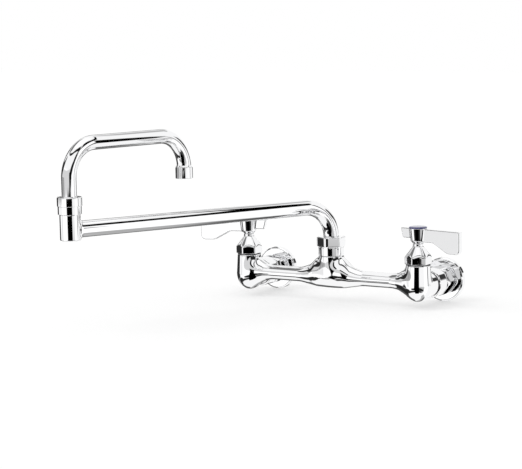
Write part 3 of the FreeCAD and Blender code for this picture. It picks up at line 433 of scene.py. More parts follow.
index_cold = material("index_blue", (0.03, 0.03, 0.14), 0.0, 0.16, 0.04, scale=500, tint=0.08,
                      coat=0.5)
FINISHES = {"chrome": turned_chrome, "brass": brass, "rubber": rubber, "acetal": acetal,
            "stainless": steel, "ceramic": alumina, "index_red": index_hot,
            "index_blue": index_cold}
PLATED = ("hot_stem", "cold_stem")
for subpart in frame["record"]["subparts"]:
    carried = frame["nodes"][subpart["node"]].data
    carried.materials.clear()
    plated = subpart["node"] in PLATED
    carried.materials.append(turned_chrome if plated else FINISHES[subpart["material_slot"]])


# ---- cast body --------------------------------------------------------------------------------

ARM_RADIUS, ARM_HEIGHT, ARM_BORE = 7.7, 4.2, 4.0
ARM_TOP, ARM_DROP = ARM_HEIGHT + ARM_RADIUS, ARM_RADIUS - ARM_HEIGHT
# Stations of the casting from the riser outwards: distance from X = 0, top, drop, half width.
STATIONS = [
    (0.0, 26.0, 7.6, 11.8), (15.0, 23.5, 7.2, 11.0), (25.0, 15.8, 5.6, 8.8),
    (40.0, ARM_TOP, ARM_DROP, ARM_RADIUS), (SPAN - 31.6, ARM_TOP, ARM_DROP, ARM_RADIUS),
    (SPAN - 23.0, 12.9, 4.6, 8.2), (SPAN - 16.0, 16.4, 7.8, 9.8), (SPAN - 6.0, 20.5, 12.0, 11.6),
]
ROOT_ROUND = 8.0
RISER_RADIUS, RISER_TOP, RISER_THREAD, RISER_MOUTH, RISER_BORE = 12.6, 26.3, 11.6, 38.0, 10.0
RIM_RADIUS, RIM_HEIGHT, BELLY_RADIUS, BELLY_HEIGHT = 12.4, 22.5, 13.65, 1.5
FOOT_DROP, FOOT_ROUND, RIM_EDGE = 15.6, 9.5, 1.2
BOSS_RADIUS, BOSS_LENGTH, BOSS_THREAD, THREAD_LENGTH = 13.4, 18.7, 12.4, 9.5
CAVITY, BONNET_BORE, CHAMBER, PORT, SUPPLY_BORE = 10.0, 10.6, 5.5, 3.8, 6.5
CAVITY_FLOOR, BONNET_SEAT, CHAMBER_FLOOR, PORT_HEIGHT, SUPPLY_DEPTH = 1.0, 13.0, -10.0, -5.0, 11.0
MIXING_BORE, RISER_FLOOR = 5.5, 16.0
RISER_BLEND, TOWER_BLEND, BOSS_BLEND = 7.0, 6.0, 3.0
THREAD_EDGE, BOSS_EDGE, RISER_EDGE, MOUTH_EDGE, BORE_EDGE = 1.0, 1.2, 1.0, 0.6, 0.8


def smooth_table(column):
    """A smooth curve through one column of STATIONS, as a function of the distance from X = 0."""
    at = np.array([row[0] for row in STATIONS])
    to = np.array([row[column] for row in STATIONS])
    rise = np.diff(to) / np.diff(at)
    slope = np.zeros(len(at))
    for i in range(1, len(at) - 1):
        if rise[i - 1] * rise[i] > 0:
            slope[i] = 2 * rise[i - 1] * rise[i] / (rise[i - 1] + rise[i])

    def curve(x):
        i = np.clip(np.searchsorted(at, x, side="right") - 1, 0, len(at) - 2)
        wide = at[i + 1] - at[i]
        t = np.clip((x - at[i]) / wide, 0, 1)
        return (to[i] * (1 + 2 * t) * (1 - t) ** 2 + to[i + 1] * t * t * (3 - 2 * t)
                + wide * (slope[i] * t * (1 - t) ** 2 - slope[i + 1] * t * t * (1 - t)))
    return curve


crown_line, belly_line, width_line = smooth_table(1), smooth_table(2), smooth_table(3)


def tower_field(radius, up):
    """Tapered wall over a rounded foot of two arcs."""
    depth = BELLY_HEIGHT + FOOT_DROP - FOOT_ROUND
    side_round = (BELLY_RADIUS ** 2 + depth ** 2 - FOOT_ROUND ** 2) / (2 * (BELLY_RADIUS - FOOT_ROUND))
    wall = radius - BELLY_RADIUS + (up - BELLY_HEIGHT) * (BELLY_RADIUS - RIM_RADIUS) / (
        RIM_HEIGHT - BELLY_HEIGHT)
    out, down = radius - (BELLY_RADIUS - side_round), up - BELLY_HEIGHT
    side = np.hypot(out, down) - side_round
    foot = np.hypot(radius, up + FOOT_DROP - FOOT_ROUND) - FOOT_ROUND
    turn = (side_round - BELLY_RADIUS) * -down - depth * out
    low = np.where(turn > 0, foot, side)
    return common(np.where(down > 0, wall, low), up - RIM_HEIGHT, RIM_EDGE)


def casting_field(p):
    """Arms, riser, towers and supply bosses blended into each other, with the waterways cut out."""
    x, y, z = np.abs(p[:, 0]), p[:, 1] + REACH, p[:, 2]
    top, drop, half = crown_line(x), belly_line(x), width_line(x)
    tall, middle = (top + drop) / 2, (top - drop) / 2
    past = np.maximum(x - STATIONS[-1][0], 0.0) / ROOT_ROUND
    arm = (np.sqrt((y / half) ** 2 + ((z - middle) / tall) ** 2 + past ** 2) - 1) * np.minimum(
        tall, half)
    centre = np.hypot(x, y)
    riser = common(centre - RISER_RADIUS, slab(z, ARM_HEIGHT, RISER_TOP), RISER_EDGE)
    side = x - SPAN
    axis = np.hypot(side, y)
    tower = tower_field(axis, z)
    round_y = np.hypot(side, z)
    boss = common(round_y - BOSS_RADIUS, slab(y, 0.0, BOSS_LENGTH), BOSS_EDGE)
    shape = union(union(arm, riser, RISER_BLEND), union(tower, boss, BOSS_BLEND), TOWER_BLEND)
    shape = union(shape, common(centre - RISER_THREAD, slab(z, ARM_HEIGHT, RISER_MOUTH), THREAD_EDGE))
    shape = union(shape, common(round_y - BOSS_THREAD, slab(y, 0.0, BOSS_LENGTH + THREAD_LENGTH),
                                THREAD_EDGE))
    hollow = common(centre - RISER_BORE, RISER_FLOOR - z, MOUTH_EDGE)
    hollow = union(hollow, np.maximum(centre - MIXING_BORE, ARM_HEIGHT - z))
    hollow = union(hollow, np.maximum(np.hypot(y, z - ARM_HEIGHT) - ARM_BORE, x - SPAN))
    hollow = union(hollow, np.maximum(axis - CAVITY, CAVITY_FLOOR - z))
    hollow = union(hollow, np.maximum(axis - BONNET_BORE, BONNET_SEAT - z))
    hollow = union(hollow, np.maximum(axis - CHAMBER, slab(z, CHAMBER_FLOOR, CAVITY_FLOOR)))
    hollow = union(hollow, np.maximum(np.hypot(side, z - PORT_HEIGHT) - PORT,
                                      slab(y, 0.0, BOSS_LENGTH)))
    hollow = union(hollow, np.maximum(round_y - SUPPLY_BORE,
                                      BOSS_LENGTH + THREAD_LENGTH - SUPPLY_DEPTH - y))
    return cut(shape, hollow, BORE_EDGE)


CASTING_CELL, CASTING_MARGIN = 0.8, 2.5
body_low, body_high = node_box("faucet_body")
field_piece("casting", casting_field, body_low - CASTING_MARGIN, body_high + CASTING_MARGIN,
            CASTING_CELL, "body", cast_chrome, "chrome", ["faucet_body"])


# ---- wall inlets ------------------------------------------------------------------------------

FRONT_RING, WASHER_THICKNESS, COLLAR_WIDTH, COLLAR_GAP, NUT_LIP = 1.6, 1.5, 2.45, 0.05, 4.3
BOSS_SHOULDER = BOSS_LENGTH - REACH
WASHER_BACK = BOSS_SHOULDER + THREAD_LENGTH + WASHER_THICKNESS
COLLAR_BACK = WASHER_BACK + COLLAR_WIDTH
NUT_SEAT = COLLAR_BACK + COLLAR_GAP
NUT_FRONT, NUT_BACK = BOSS_SHOULDER + FRONT_RING, NUT_SEAT + NUT_LIP
NUT_RADIUS, NUT_FLATS, NUT_BEVEL, NUT_BORE, NUT_LIP_BORE = 15.25, 29.5, 1.6, 12.5, 9.8
NECK_GAP, NECK_BACK = 0.4, -9.3
NECK_FRONT = NUT_BACK + NECK_GAP
NECK_RADIUS, NECK_FLATS, NECK_CORE, WAIST = 15.5, 28.2, 10.5, 12.6
PIPE_THREAD, PIPE_DEPTH, COLLAR_RADIUS, SLEEVE_RADIUS = 9.63, -15.0, 12.2, 9.7
WRENCH_TURN = math.radians(22.0)
RIM_OUT, RIM_BACK, FACE_OUT, FACE_BACK = 22.8, -4.8, 21.4, -6.2
WRENCH_CELL, WRENCH_REACH = 0.45, 17.0
FLAT_EDGE, END_EDGE, BEVEL_SLOPE = 0.8, 1.2, 0.75


def wrench_field(spot, outline, low, high, radius, flats):
    """A turned piece on a supply axis with six flats from low to high and bevelled ends."""
    def field(p):
        x, y, z = (p - spot).T
        out = np.hypot(x, z)
        middle, half = (low + high) / 2, (high - low) / 2
        past = np.maximum(np.abs(y - middle) - half + NUT_BEVEL, 0.0)
        bevel = (past + out - radius) * BEVEL_SLOPE
        flat = common(outline(out, y), hexagon(x, z, flats, WRENCH_TURN), FLAT_EDGE)
        return common(flat, bevel, END_EDGE)
    return field


for side, hand in SIDES.items():
    supply = np.array([hand * SPAN, 0.0, 0.0])
    lathe(f"{side}_wall_inlet", [
        (PIPE_THREAD, 0.0, 0.4), (PIPE_THREAD, PIPE_DEPTH), (SUPPLY_BORE, PIPE_DEPTH),
        (SUPPLY_BORE, WASHER_BACK), (COLLAR_RADIUS, WASHER_BACK, 0.3),
        (COLLAR_RADIUS, COLLAR_BACK, 0.3), (SLEEVE_RADIUS, COLLAR_BACK), (SLEEVE_RADIUS, NECK_FRONT),
        (WAIST, NECK_FRONT + 1.0), (WAIST, FACE_BACK, 1.0), (FACE_OUT, FACE_BACK, 1.2),
        (RIM_OUT, RIM_BACK, 1.0), (RIM_OUT, 0.0, 0.3)], supply, "body", turned_chrome,
        [f"{side}_inlet_flange"], axis="Y")
    neck_outline = outline_field([
        (NECK_CORE, NECK_FRONT), (NECK_RADIUS, NECK_FRONT), (NECK_RADIUS, NECK_BACK),
        (NECK_CORE, NECK_BACK)])
    field_piece(f"{side}_inlet_hexagon",
                wrench_field(supply, neck_outline, NECK_FRONT, NECK_BACK, NECK_RADIUS, NECK_FLATS),
                *box_about(supply, NECK_FRONT, NECK_BACK, WRENCH_REACH, axis=1), WRENCH_CELL,
                "body", turned_chrome, "chrome")
    # The ring between the boss's shoulder and the union nut is black, so a dark band shows between them.
    lathe(f"{side}_front_ring", [
        (NUT_BORE, BOSS_SHOULDER), (BOSS_RADIUS, BOSS_SHOULDER, 0.2), (BOSS_RADIUS, NUT_FRONT, 0.2),
        (NUT_BORE, NUT_FRONT)], supply, "body", rubber, [f"{side}_coupling_ring"],
        axis="Y")
    nut_outline = outline_field([
        (NUT_BORE, NUT_FRONT), (NUT_RADIUS, NUT_FRONT), (NUT_RADIUS, NUT_BACK),
        (NUT_LIP_BORE, NUT_BACK), (NUT_LIP_BORE, NUT_SEAT), (NUT_BORE, NUT_SEAT)])
    field_piece(f"{side}_union_nut",
                wrench_field(supply, nut_outline, NUT_FRONT, NUT_BACK, NUT_RADIUS, NUT_FLATS),
                *box_about(supply, NUT_FRONT, NUT_BACK, WRENCH_REACH, axis=1), WRENCH_CELL,
                "body", turned_chrome, "chrome", [f"{side}_coupling_nut"])


# ---- valves and handles -----------------------------------------------------------------------

GASKET = 0.8
BONNET_FLATS, BONNET_CORNER, BONNET_HEX_EDGE, HEX_FOOT = 24.6, 13.9, 1.6, RIM_HEIGHT + GASKET
BONNET_SLOPE, BONNET_NECK, BONNET_CONE, BONNET_TOP = 30.4, 5.3, 41.5, 44.3
BONNET_FOOT, BONNET_THREAD, CARTRIDGE_BORE, CARTRIDGE_TOP, STEM_BORE = 17.0, 10.5, 6.5, 30.5, 4.3
HUB_FOOT, HUB_WAIST, HUB_ROUND, HUB_CROWN, HUB_LENGTH = 5.3, 7.5, 2.3, 9.2, 15.5
BLADE_LENGTH, BLADE_DEPTH, BLADE_HEEL, BLADE_NECK, BLADE_ROOT = 54.2, 8.1, 39.0, 21.0, 1.6
BLADE_TOP, BLADE_THICKNESS, TAIL_LENGTH, TAIL_SLANT, TAIL_ROOT = 14.9, 5.4, 20.3, 2.0, 4.7
BLADE_TURN = math.radians(12.0)
EDGE, HUB_EDGE, HUB_BLEND = 0.9, 0.5, 2.5
STEM_SOCKET, SOCKET_TOP, SCREW_HOLE, WELL_FLOOR, WELL_RADIUS = 4.05, 7.8, 2.1, 9.8, 6.6
CAP_SHANK, CAP_SINK, CAP_RIM, CAP_DOME, CAP_HEIGHT = 6.5, 1.7, 0.75, 7.8, 1.4
PAST_END, HANDLE_CELL, HANDLE_MARGIN = 9.5, 0.5, 1.3

bonnet_outline = outline_field([
    (CARTRIDGE_BORE, BONNET_FOOT), (BONNET_THREAD, BONNET_FOOT), (BONNET_THREAD, HEX_FOOT),
    (BONNET_CORNER, HEX_FOOT, 0.5), (BONNET_CORNER, BONNET_SLOPE, 0.6),
    (BONNET_NECK, BONNET_CONE, 2.0),
    (BONNET_NECK, BONNET_TOP, 0.6), (STEM_BORE, BONNET_TOP), (STEM_BORE, CARTRIDGE_TOP),
    (CARTRIDGE_BORE, CARTRIDGE_TOP)])
hub_outline = outline_field([
    (0, 0), (HUB_FOOT, 0, 0.6), (HUB_WAIST, HUB_ROUND, 3.0), (HUB_CROWN, HUB_LENGTH, 0.5),
    (0, HUB_LENGTH)])
bore_outline = outline_field([
    (0, -PAST_END), (STEM_SOCKET, -PAST_END), (STEM_SOCKET, SOCKET_TOP), (SCREW_HOLE, SOCKET_TOP),
    (SCREW_HOLE, WELL_FLOOR), (WELL_RADIUS, WELL_FLOOR), (WELL_RADIUS, HUB_LENGTH + PAST_END),
    (0, HUB_LENGTH + PAST_END)])
blade_outline = outline_field([
    (-TAIL_LENGTH + EDGE, BLADE_TOP - EDGE), (-TAIL_LENGTH + TAIL_SLANT + EDGE, TAIL_ROOT + EDGE, 0.6),
    (0, TAIL_ROOT + EDGE), (0, BLADE_ROOT + EDGE), (BLADE_NECK, BLADE_ROOT + EDGE, 9.0),
    (BLADE_HEEL, -BLADE_DEPTH + EDGE, 9.0), (BLADE_LENGTH - EDGE, -BLADE_DEPTH + EDGE, 4.0),
    (BLADE_LENGTH - EDGE, BLADE_TOP - EDGE)])


def handle_field(spot, hand):
    """Hub with its blade and tail, about one valve axis."""
    out = np.array([hand * math.cos(BLADE_TURN), -math.sin(BLADE_TURN)])

    def field(p):
        x, y, z = (p - spot).T
        along, across = x * out[0] + y * out[1], y * out[0] - x * out[1]
        radius = np.hypot(x, y)
        flat = blade_outline(along, z)
        thick = np.abs(across) - BLADE_THICKNESS / 2 + EDGE
        blade = (np.minimum(np.maximum(flat, thick), 0)
                 + np.hypot(np.maximum(flat, 0), np.maximum(thick, 0)) - EDGE)
        hub = hub_outline(radius, z)
        shape = union(hub, blade, HUB_BLEND)
        return cut(common(shape, z - HUB_LENGTH, HUB_EDGE), bore_outline(radius, z), HUB_EDGE)
    return field


for side, hand in SIDES.items():
    valve = np.array([hand * SPAN, -REACH, 0.0])

    def bonnet_field(p, valve=valve):
        """Turned cone over a hexagon with rounded corners."""
        x, y, z = (p - valve).T
        return common(bonnet_outline(np.hypot(x, y), z),
                      np.where(z < HEX_FOOT - HEX_LEAD, INSIDE, hexagon(x, y, BONNET_FLATS)),
                      BONNET_HEX_EDGE)

    field_piece(f"{side}_valve_bonnet", bonnet_field,
                *box_about(valve, BONNET_FOOT, BONNET_TOP, 16.0, margin=1.0), FINE_CELL,
                "body", turned_chrome, "chrome", [f"{side}_bonnet"])
    hub_spot = VALVE[side]
    handle_low, handle_high = node_box(f"{side}_handle")
    field_piece(f"{side}_wrist_handle", handle_field(hub_spot, hand), handle_low - HANDLE_MARGIN,
                handle_high + HANDLE_MARGIN, HANDLE_CELL, f"{side}_valve", cast_chrome, "chrome",
                [f"{side}_handle"])
    lathe(f"{side}_index_cap", [
        (0, HUB_LENGTH - CAP_SINK), (CAP_SHANK, HUB_LENGTH - CAP_SINK), (CAP_SHANK, HUB_LENGTH),
        (HUB_CROWN, HUB_LENGTH, 0.2), (HUB_CROWN, HUB_LENGTH + CAP_RIM, 0.5),
        (CAP_DOME, HUB_LENGTH + CAP_HEIGHT, 1.5), (0, HUB_LENGTH + CAP_HEIGHT)],
        hub_spot, f"{side}_valve",
        index_hot if side == "hot" else index_cold,
        [f"{side}_index_button"])


# ---- spouts -----------------------------------------------------------------------------------

PRIMARY_RADIUS, OUTLET_RADIUS, TUBE_WALL, BEND = 7.94, 7.14, 0.9, 32.0
NUT_SKIRT, SPOUT_FLATS, SPOUT_CORNER, SPOUT_HEX_EDGE = 13.25, 26.9, 14.9, 1.2
SKIRT_BORE, SPOUT_LIP_BORE, SPOUT_LIP, GAP = 11.7, 8.24, 4.3, 0.1
NUT_LOW, NUT_STEP, NUT_TOP, SPOUT_NUT_TURN = 26.6, 36.2, 46.3, math.radians(7.5)
SOCKET_RADIUS, SOCKET_THREAD, SOCKET_BORE = 9.9, 9.6, 8.6
SOCKET_LOW, SOCKET_STEP, SOCKET_MOUTH = 68.7, 93.3, 104.0
SWIVEL_BODY, SWIVEL_RIM, SWIVEL_STEP, SWIVEL_TOP = 11.3, 11.9, 101.0, 110.0
SOCKET_FLOOR, STUB, STUB_ROOT, STUB_GAP, STUB_BLEND, TUBE_SEAT = 1.8, 4.5, 2.0, 0.03, 3.5, 1.2
SWIVEL_THREAD, SWIVEL_MOUTH, SWIVEL_LIP, SWIVEL_BEVEL = 9.7, 7.44, 2.6, 2.2
TIP_RADIUS, TIP_SHOULDER, TIP_CONE = 8.7, 126.4, 1.8
TUBE_END, ADAPTER_LOW, ADAPTER_BORE, ADAPTER_THREAD, ADAPTER_MOUTH = 122.0, 121.7, 7.19, 8.0, 7.49
SHELL_MOUTH, SHELL_BORE, SHELL_LIP = 7.0, 8.1, 1.2
riser_spot = np.array([RISER[0], RISER[1], 0.0])
swivel_spot = np.array([SWIVEL[0], SWIVEL[1], 0.0])
tip_spot = np.array([TIP[0], TIP[1], 0.0])
primary_low, primary_high = node_box("primary_spout_tube")
outlet_low, outlet_high = node_box("outlet_spout_tube")
PRIMARY_HEIGHT, OUTLET_HEIGHT = primary_high[2] - PRIMARY_RADIUS, outlet_high[2] - OUTLET_RADIUS

spout_nut_outline = outline_field([
    (SKIRT_BORE, NUT_LOW), (NUT_SKIRT, NUT_LOW, 0.4), (NUT_SKIRT, NUT_STEP, 0.2),
    (SPOUT_CORNER, NUT_STEP + 0.3, 0.4), (SPOUT_CORNER, NUT_TOP - 0.6, 0.4),
    (NUT_SKIRT, NUT_TOP, 0.4), (SPOUT_LIP_BORE, NUT_TOP, 0.4),
    (SPOUT_LIP_BORE, NUT_TOP - SPOUT_LIP), (SKIRT_BORE, NUT_TOP - SPOUT_LIP)])


def spout_nut_field(p):
    """Hexagon with rounded corners over a round skirt."""
    x, y, z = (p - riser_spot).T
    return common(spout_nut_outline(np.hypot(x, y), z),
                  np.where(z < NUT_STEP - HEX_LEAD, INSIDE, hexagon(x, y, SPOUT_FLATS, SPOUT_NUT_TURN)),
                  SPOUT_HEX_EDGE)


field_piece("riser_nut", spout_nut_field, *box_about(riser_spot, NUT_LOW, NUT_TOP, 16.5), FINE_CELL,
            "body", turned_chrome, "chrome", ["spout_nut"])
bent_tube("primary_tube", PRIMARY_RADIUS, TUBE_WALL, (riser_spot, PRIMARY_WAY, [
    (0, primary_low[2]), (0, PRIMARY_HEIGHT),
    (PRIMARY_REACH - SOCKET_RADIUS + TUBE_SEAT, PRIMARY_HEIGHT)]),
    BEND, "primary_spout", tube_chrome, ["primary_spout_tube"])

socket_outline = outline_field([
    (0, SOCKET_LOW), (SOCKET_RADIUS, SOCKET_LOW, 0.7), (SOCKET_RADIUS, SOCKET_STEP, 0.4),
    (SOCKET_THREAD, SOCKET_STEP), (SOCKET_THREAD, SOCKET_MOUTH, 0.3), (SOCKET_BORE, SOCKET_MOUTH, 0.3),
    (SOCKET_BORE, SOCKET_LOW + SOCKET_FLOOR), (0, SOCKET_LOW + SOCKET_FLOOR)])


def socket_field(p):
    """Upright cup with a stub that holds the end of the primary tube."""
    x, y, z = (p - swivel_spot).T
    along = -(x * PRIMARY_WAY[0] + y * PRIMARY_WAY[1])
    across = x * PRIMARY_WAY[1] - y * PRIMARY_WAY[0]
    bore = np.hypot(across, z - PRIMARY_HEIGHT)
    stub = common(bore - PRIMARY_RADIUS - STUB_GAP,
                  slab(along, SOCKET_RADIUS - STUB_ROOT, SOCKET_RADIUS + STUB))
    shape = union(socket_outline(np.hypot(x, y), z), stub, STUB_BLEND)
    return cut(shape, np.maximum(bore - PRIMARY_RADIUS + TUBE_WALL, -along), 0.3)


field_piece("swivel_cup", socket_field,
            *box_about(swivel_spot, SOCKET_LOW, SOCKET_MOUTH, 16.0, margin=1.5), FINE_CELL,
            "primary_spout", turned_chrome, "chrome", ["swivel_socket"])
lathe("swivel_collar", [
    (SWIVEL_THREAD, SOCKET_STEP + GAP), (SWIVEL_BODY, SOCKET_STEP + GAP, 0.35),
    (SWIVEL_BODY, SWIVEL_STEP, 0.2), (SWIVEL_RIM, SWIVEL_STEP + 0.3, 0.3),
    (SWIVEL_RIM, SWIVEL_TOP - 0.3, 0.8),
    (SWIVEL_RIM - SWIVEL_BEVEL, SWIVEL_TOP, 0.8), (SWIVEL_MOUTH, SWIVEL_TOP, 0.4),
    (SWIVEL_MOUTH, SWIVEL_TOP - SWIVEL_LIP), (SWIVEL_THREAD, SWIVEL_TOP - SWIVEL_LIP)], swivel_spot,
    "primary_spout", turned_chrome, ["swivel_nut"])
bent_tube("outlet_tube", OUTLET_RADIUS, TUBE_WALL, (swivel_spot, OUTLET_WAY, [
    (0, outlet_low[2]), (0, OUTLET_HEIGHT), (OUTLET_REACH, OUTLET_HEIGHT), (OUTLET_REACH, TUBE_END)]),
    BEND, "outlet_spout", tube_chrome, ["outlet_spout_tube"])
lathe("outlet_collar", [
    (ADAPTER_BORE, ADAPTER_LOW), (ADAPTER_THREAD, ADAPTER_LOW), (ADAPTER_THREAD, TIP_SHOULDER),
    (TIP_RADIUS, TIP_SHOULDER, 0.3), (ADAPTER_MOUTH, TIP_SHOULDER + TIP_CONE, 0.2),
    (ADAPTER_BORE, TIP_SHOULDER + TIP_CONE)], tip_spot, "outlet_spout", turned_chrome,
    ["outlet_adapter"])
lathe("outlet_shell", [
    (SHELL_MOUTH, tip_low[2], 0.3), (TIP_RADIUS, tip_low[2], 0.5),
    (TIP_RADIUS, TIP_SHOULDER - GAP, 0.2), (SHELL_BORE, TIP_SHOULDER - GAP),
    (SHELL_BORE, tip_low[2] + SHELL_LIP), (SHELL_MOUTH, tip_low[2] + SHELL_LIP)], tip_spot,
    "outlet_spout", turned_chrome, ["outlet_housing"])


# ---- studio -----------------------------------------------------------------------------------

STUDIO_CENTRE = np.array([0.0, -0.2, 0.06])
PAPER_LEVEL = cad_box[0][2] - 0.0005
CARD_STEPS = 8


def seen_directly(nodes, links):
    """1 for rays from the camera or off glossy or clear surfaces, else 0."""
    path = nodes.new("ShaderNodeLightPath")
    total = None
    for name in ("Is Camera Ray", "Is Glossy Ray", "Is Transmission Ray"):
        if total is None:
            total = path.outputs[name]
            continue
        add = nodes.new("ShaderNodeMath")
        add.operation = "MAXIMUM"
        links.new(total, add.inputs[0])
        links.new(path.outputs[name], add.inputs[1])
        total = add.outputs[0]
    return total


def toward(azimuth, elevation):
    """Unit direction in the studio: azimuth from the front (-Y) towards +X, in degrees."""
    turn, rise = math.radians(azimuth), math.radians(elevation)
    return np.array([math.sin(turn) * math.cos(rise), -math.cos(turn) * math.cos(rise),
                     math.sin(rise)])


def card_finish(name, shade, soft):
    """Plain emission that fades out over the outer part of a card."""
    made = bpy.data.materials.new(name)
    nodes, links = node_tree(made)
    nodes.clear()
    split = nodes.new("ShaderNodeSeparateXYZ")
    links.new(nodes.new("ShaderNodeUVMap").outputs["UV"], split.inputs["Vector"])
    cover = None
    for side in ("X", "Y"):
        fade = nodes.new("ShaderNodeMapRange")
        fade.interpolation_type = "SMOOTHSTEP"
        fade.inputs["From Max"].default_value = soft
        links.new(split.outputs[side], fade.inputs["Value"])
        if cover is None:
            cover = fade.outputs["Result"]
            continue
        both = nodes.new("ShaderNodeMath")
        both.operation = "MULTIPLY"
        links.new(cover, both.inputs[0])
        links.new(fade.outputs["Result"], both.inputs[1])
        cover = both.outputs[0]
    glow = nodes.new("ShaderNodeEmission")
    glow.inputs["Strength"].default_value = shade
    mix = nodes.new("ShaderNodeMixShader")
    links.new(cover, mix.inputs["Fac"])
    links.new(nodes.new("ShaderNodeBsdfTransparent").outputs[0], mix.inputs[1])
    links.new(glow.outputs[0], mix.inputs[2])
    links.new(mix.outputs[0], nodes.new("ShaderNodeOutputMaterial").inputs["Surface"])
    return made


def hang(name, shade, soft, places, marks, faces):
    """A mesh of the studio that only reflections see, with its distance from the edge in its UV map."""
    mesh = bpy.data.meshes.new(name)
    mesh.from_pydata([list(place) for place in places], [], faces)
    layer = mesh.uv_layers.new(name="edge")
    for loop in mesh.loops:
        layer.data[loop.index].uv = marks[loop.vertex_index]
    mesh.materials.append(card_finish(name, shade, soft))
    item = bpy.data.objects.new(name, mesh)
    bpy.context.scene.collection.objects.link(item)
    item.visible_camera = item.visible_diffuse = item.visible_shadow = False
    item.visible_transmission = item.visible_volume_scatter = False


def grid_faces(rows, columns):
    """Quads between the points of a grid that has rows x columns of them."""
    return [(i * columns + k, i * columns + k + 1, (i + 1) * columns + k + 1, (i + 1) * columns + k)
            for i in range(rows - 1) for k in range(columns - 1)]


def band(name, shade, path, reach=1.25, soft=0.35):
    """A curved band round the faucet along a path of (azimuth, elevation, half width)."""
    stops = []
    for start, stop in zip(path, path[1:]):
        onward = np.array(stop) - np.array(start)
        stops += [np.array(start) + onward * i / CARD_STEPS for i in range(CARD_STEPS)]
    stops.append(np.array(path[-1]))
    ways = [toward(*stop[:2]) for stop in stops]
    length = [0.0]
    for before, here in zip(ways, ways[1:]):
        length.append(length[-1] + math.degrees(np.linalg.norm(here - before)))
    places, marks = [], []
    for i, (stop, way) in enumerate(zip(stops, ways)):
        onward = ways[min(i + 1, len(ways) - 1)] - ways[max(i - 1, 0)]
        side = unit(np.cross(way, onward))
        near_end = min(length[i], length[-1] - length[i]) / stop[2]
        for k in range(CARD_STEPS + 1):
            share = 2 * k / CARD_STEPS - 1
            spread = math.radians(stop[2]) * share
            places.append(STUDIO_CENTRE + reach * (way * math.cos(spread) + side * math.sin(spread)))
            marks.append((1 - abs(share), near_end))
    hang(name, shade, soft, places, marks, grid_faces(len(stops), CARD_STEPS + 1))


def panel(name, shade, left, right, low, high, soft=0.1):
    """An upright flat panel between two edges (x, y) and two heights, in metres."""
    places, marks = [], []
    for i in range(CARD_STEPS + 1):
        for k in range(CARD_STEPS + 1):
            u, v = i / CARD_STEPS, k / CARD_STEPS
            places.append((left[0] + (right[0] - left[0]) * u, left[1] + (right[1] - left[1]) * u,
                           low + (high - low) * v))
            marks.append((1 - abs(2 * u - 1), 1 - abs(2 * v - 1)))
    hang(name, shade, soft, places, marks, grid_faces(CARD_STEPS + 1, CARD_STEPS + 1))


# Each card was placed and shaded until the chrome showed a dark, grey or white shape about
# where the photo's chrome has one. A shade of 0 is black and 1 is the paper's white. Nearer cards
# cover farther ones.
panel("camera_gap", 0.0, (-0.05, -0.80), (0.50, -0.66), -0.85, 0.078, soft=0.04)
panel("camera_edge", 0.0, (-0.035, -0.437), (0.235, -0.413), 0.099, 0.150, soft=0.08)
band("camera_top", 0.02, [(38, 2, 7), (58, 12, 11), (75, 15, 15), (92, 18, 9)])
band("camera_arch", 0.02, [(68, 14, 8), (75, 30, 8), (86, 42, 9)])
band("camera_low", 0.02, [(-36, -27, 5), (8, -26, 12), (48, -27, 12), (84, -31, 5)])
band("front_low", 0.03, [(-76, -41, 7), (-30, -41, 7), (30, -42, 7), (72, -42, 5)])
band("left_low", 0.02, [(-130, -38, 11), (-95, -36, 13), (-70, -34, 11), (-50, -36, 7)])
band("left_wall", 0.02, [(-112, 22, 10), (-84, 27, 10)])
band("left_edge", 0.02, [(-110, 0, 14), (-84, 7, 13), (-62, 22, 9), (-58, 38, 6)])
band("left_mid", 0.03, [(-138, -8, 17), (-100, -11, 17), (-71, -17, 9)])
band("back_under", 0.1, [(-152, -2, 12), (-144, -32, 16), (-112, -56, 15)])
band("left_high", 0.2, [(-120, 42, 12), (-85, 50, 12), (-50, 50, 8)])
band("roof_front", 0.01, [(-45, 48, 3), (0, 54, 5), (30, 58, 6), (60, 54, 7), (82, 44, 8)])
band("roof_right", 0.0, [(84, 44, 12), (98, 44, 16), (112, 43, 14), (124, 46, 9), (134, 51, 4),
                         (158, 58, 2.5), (195, 60, 1.5)])
band("right_line", 0.0, [(121, 32, 4), (122, -8, 4)])
band("back_line", 0.04, [(136, 12, 6), (152, 14, 9), (168, 6, 6), (188, -3, 4), (218, -3, 4)])
band("back_low", 0.1, [(138, -54, 6), (162, -53, 9), (184, -50, 9), (206, -45, 7)], soft=0.7)
band("floor_back", 0.45, [(92, -56, 10), (120, -60, 12), (150, -60, 14), (185, -58, 15),
                          (214, -46, 11)], reach=1.3, soft=0.6)
band("back_high", 0.5, [(-190, 50, 7), (-148, 42, 9)])
band("back_left", 0.2, [(-142, 30, 11), (-134, 18, 12), (-128, 2, 12)])
band("right_veil", 0.5, [(30, -25, 21), (88, -25, 21)], reach=1.5, soft=0.3)
band("left_veil", 0.86, [(-66, -9, 8), (-42, -9, 8)], reach=1.5, soft=0.6)
band("tip_veil", 0.35, [(-108, -1, 3), (-36, -1, 3)], reach=1.48, soft=0.4)
band("front_veil", 0.70, [(-112, 6.6, 10), (42, 6.6, 10)], reach=1.5, soft=0.06)
band("key_box", 1.16, [(-75, -12, 34), (5, -12, 34)], reach=1.7, soft=0.15)
band("roof_box", 1.16, [(-180, 80, 18), (-90, 84, 20), (0, 90, 20), (90, 84, 20), (180, 80, 18)],
     reach=1.7, soft=0.15)
band("side_box", 1.16, [(100, -50, 18), (100, 32, 18)], reach=1.7, soft=0.15)


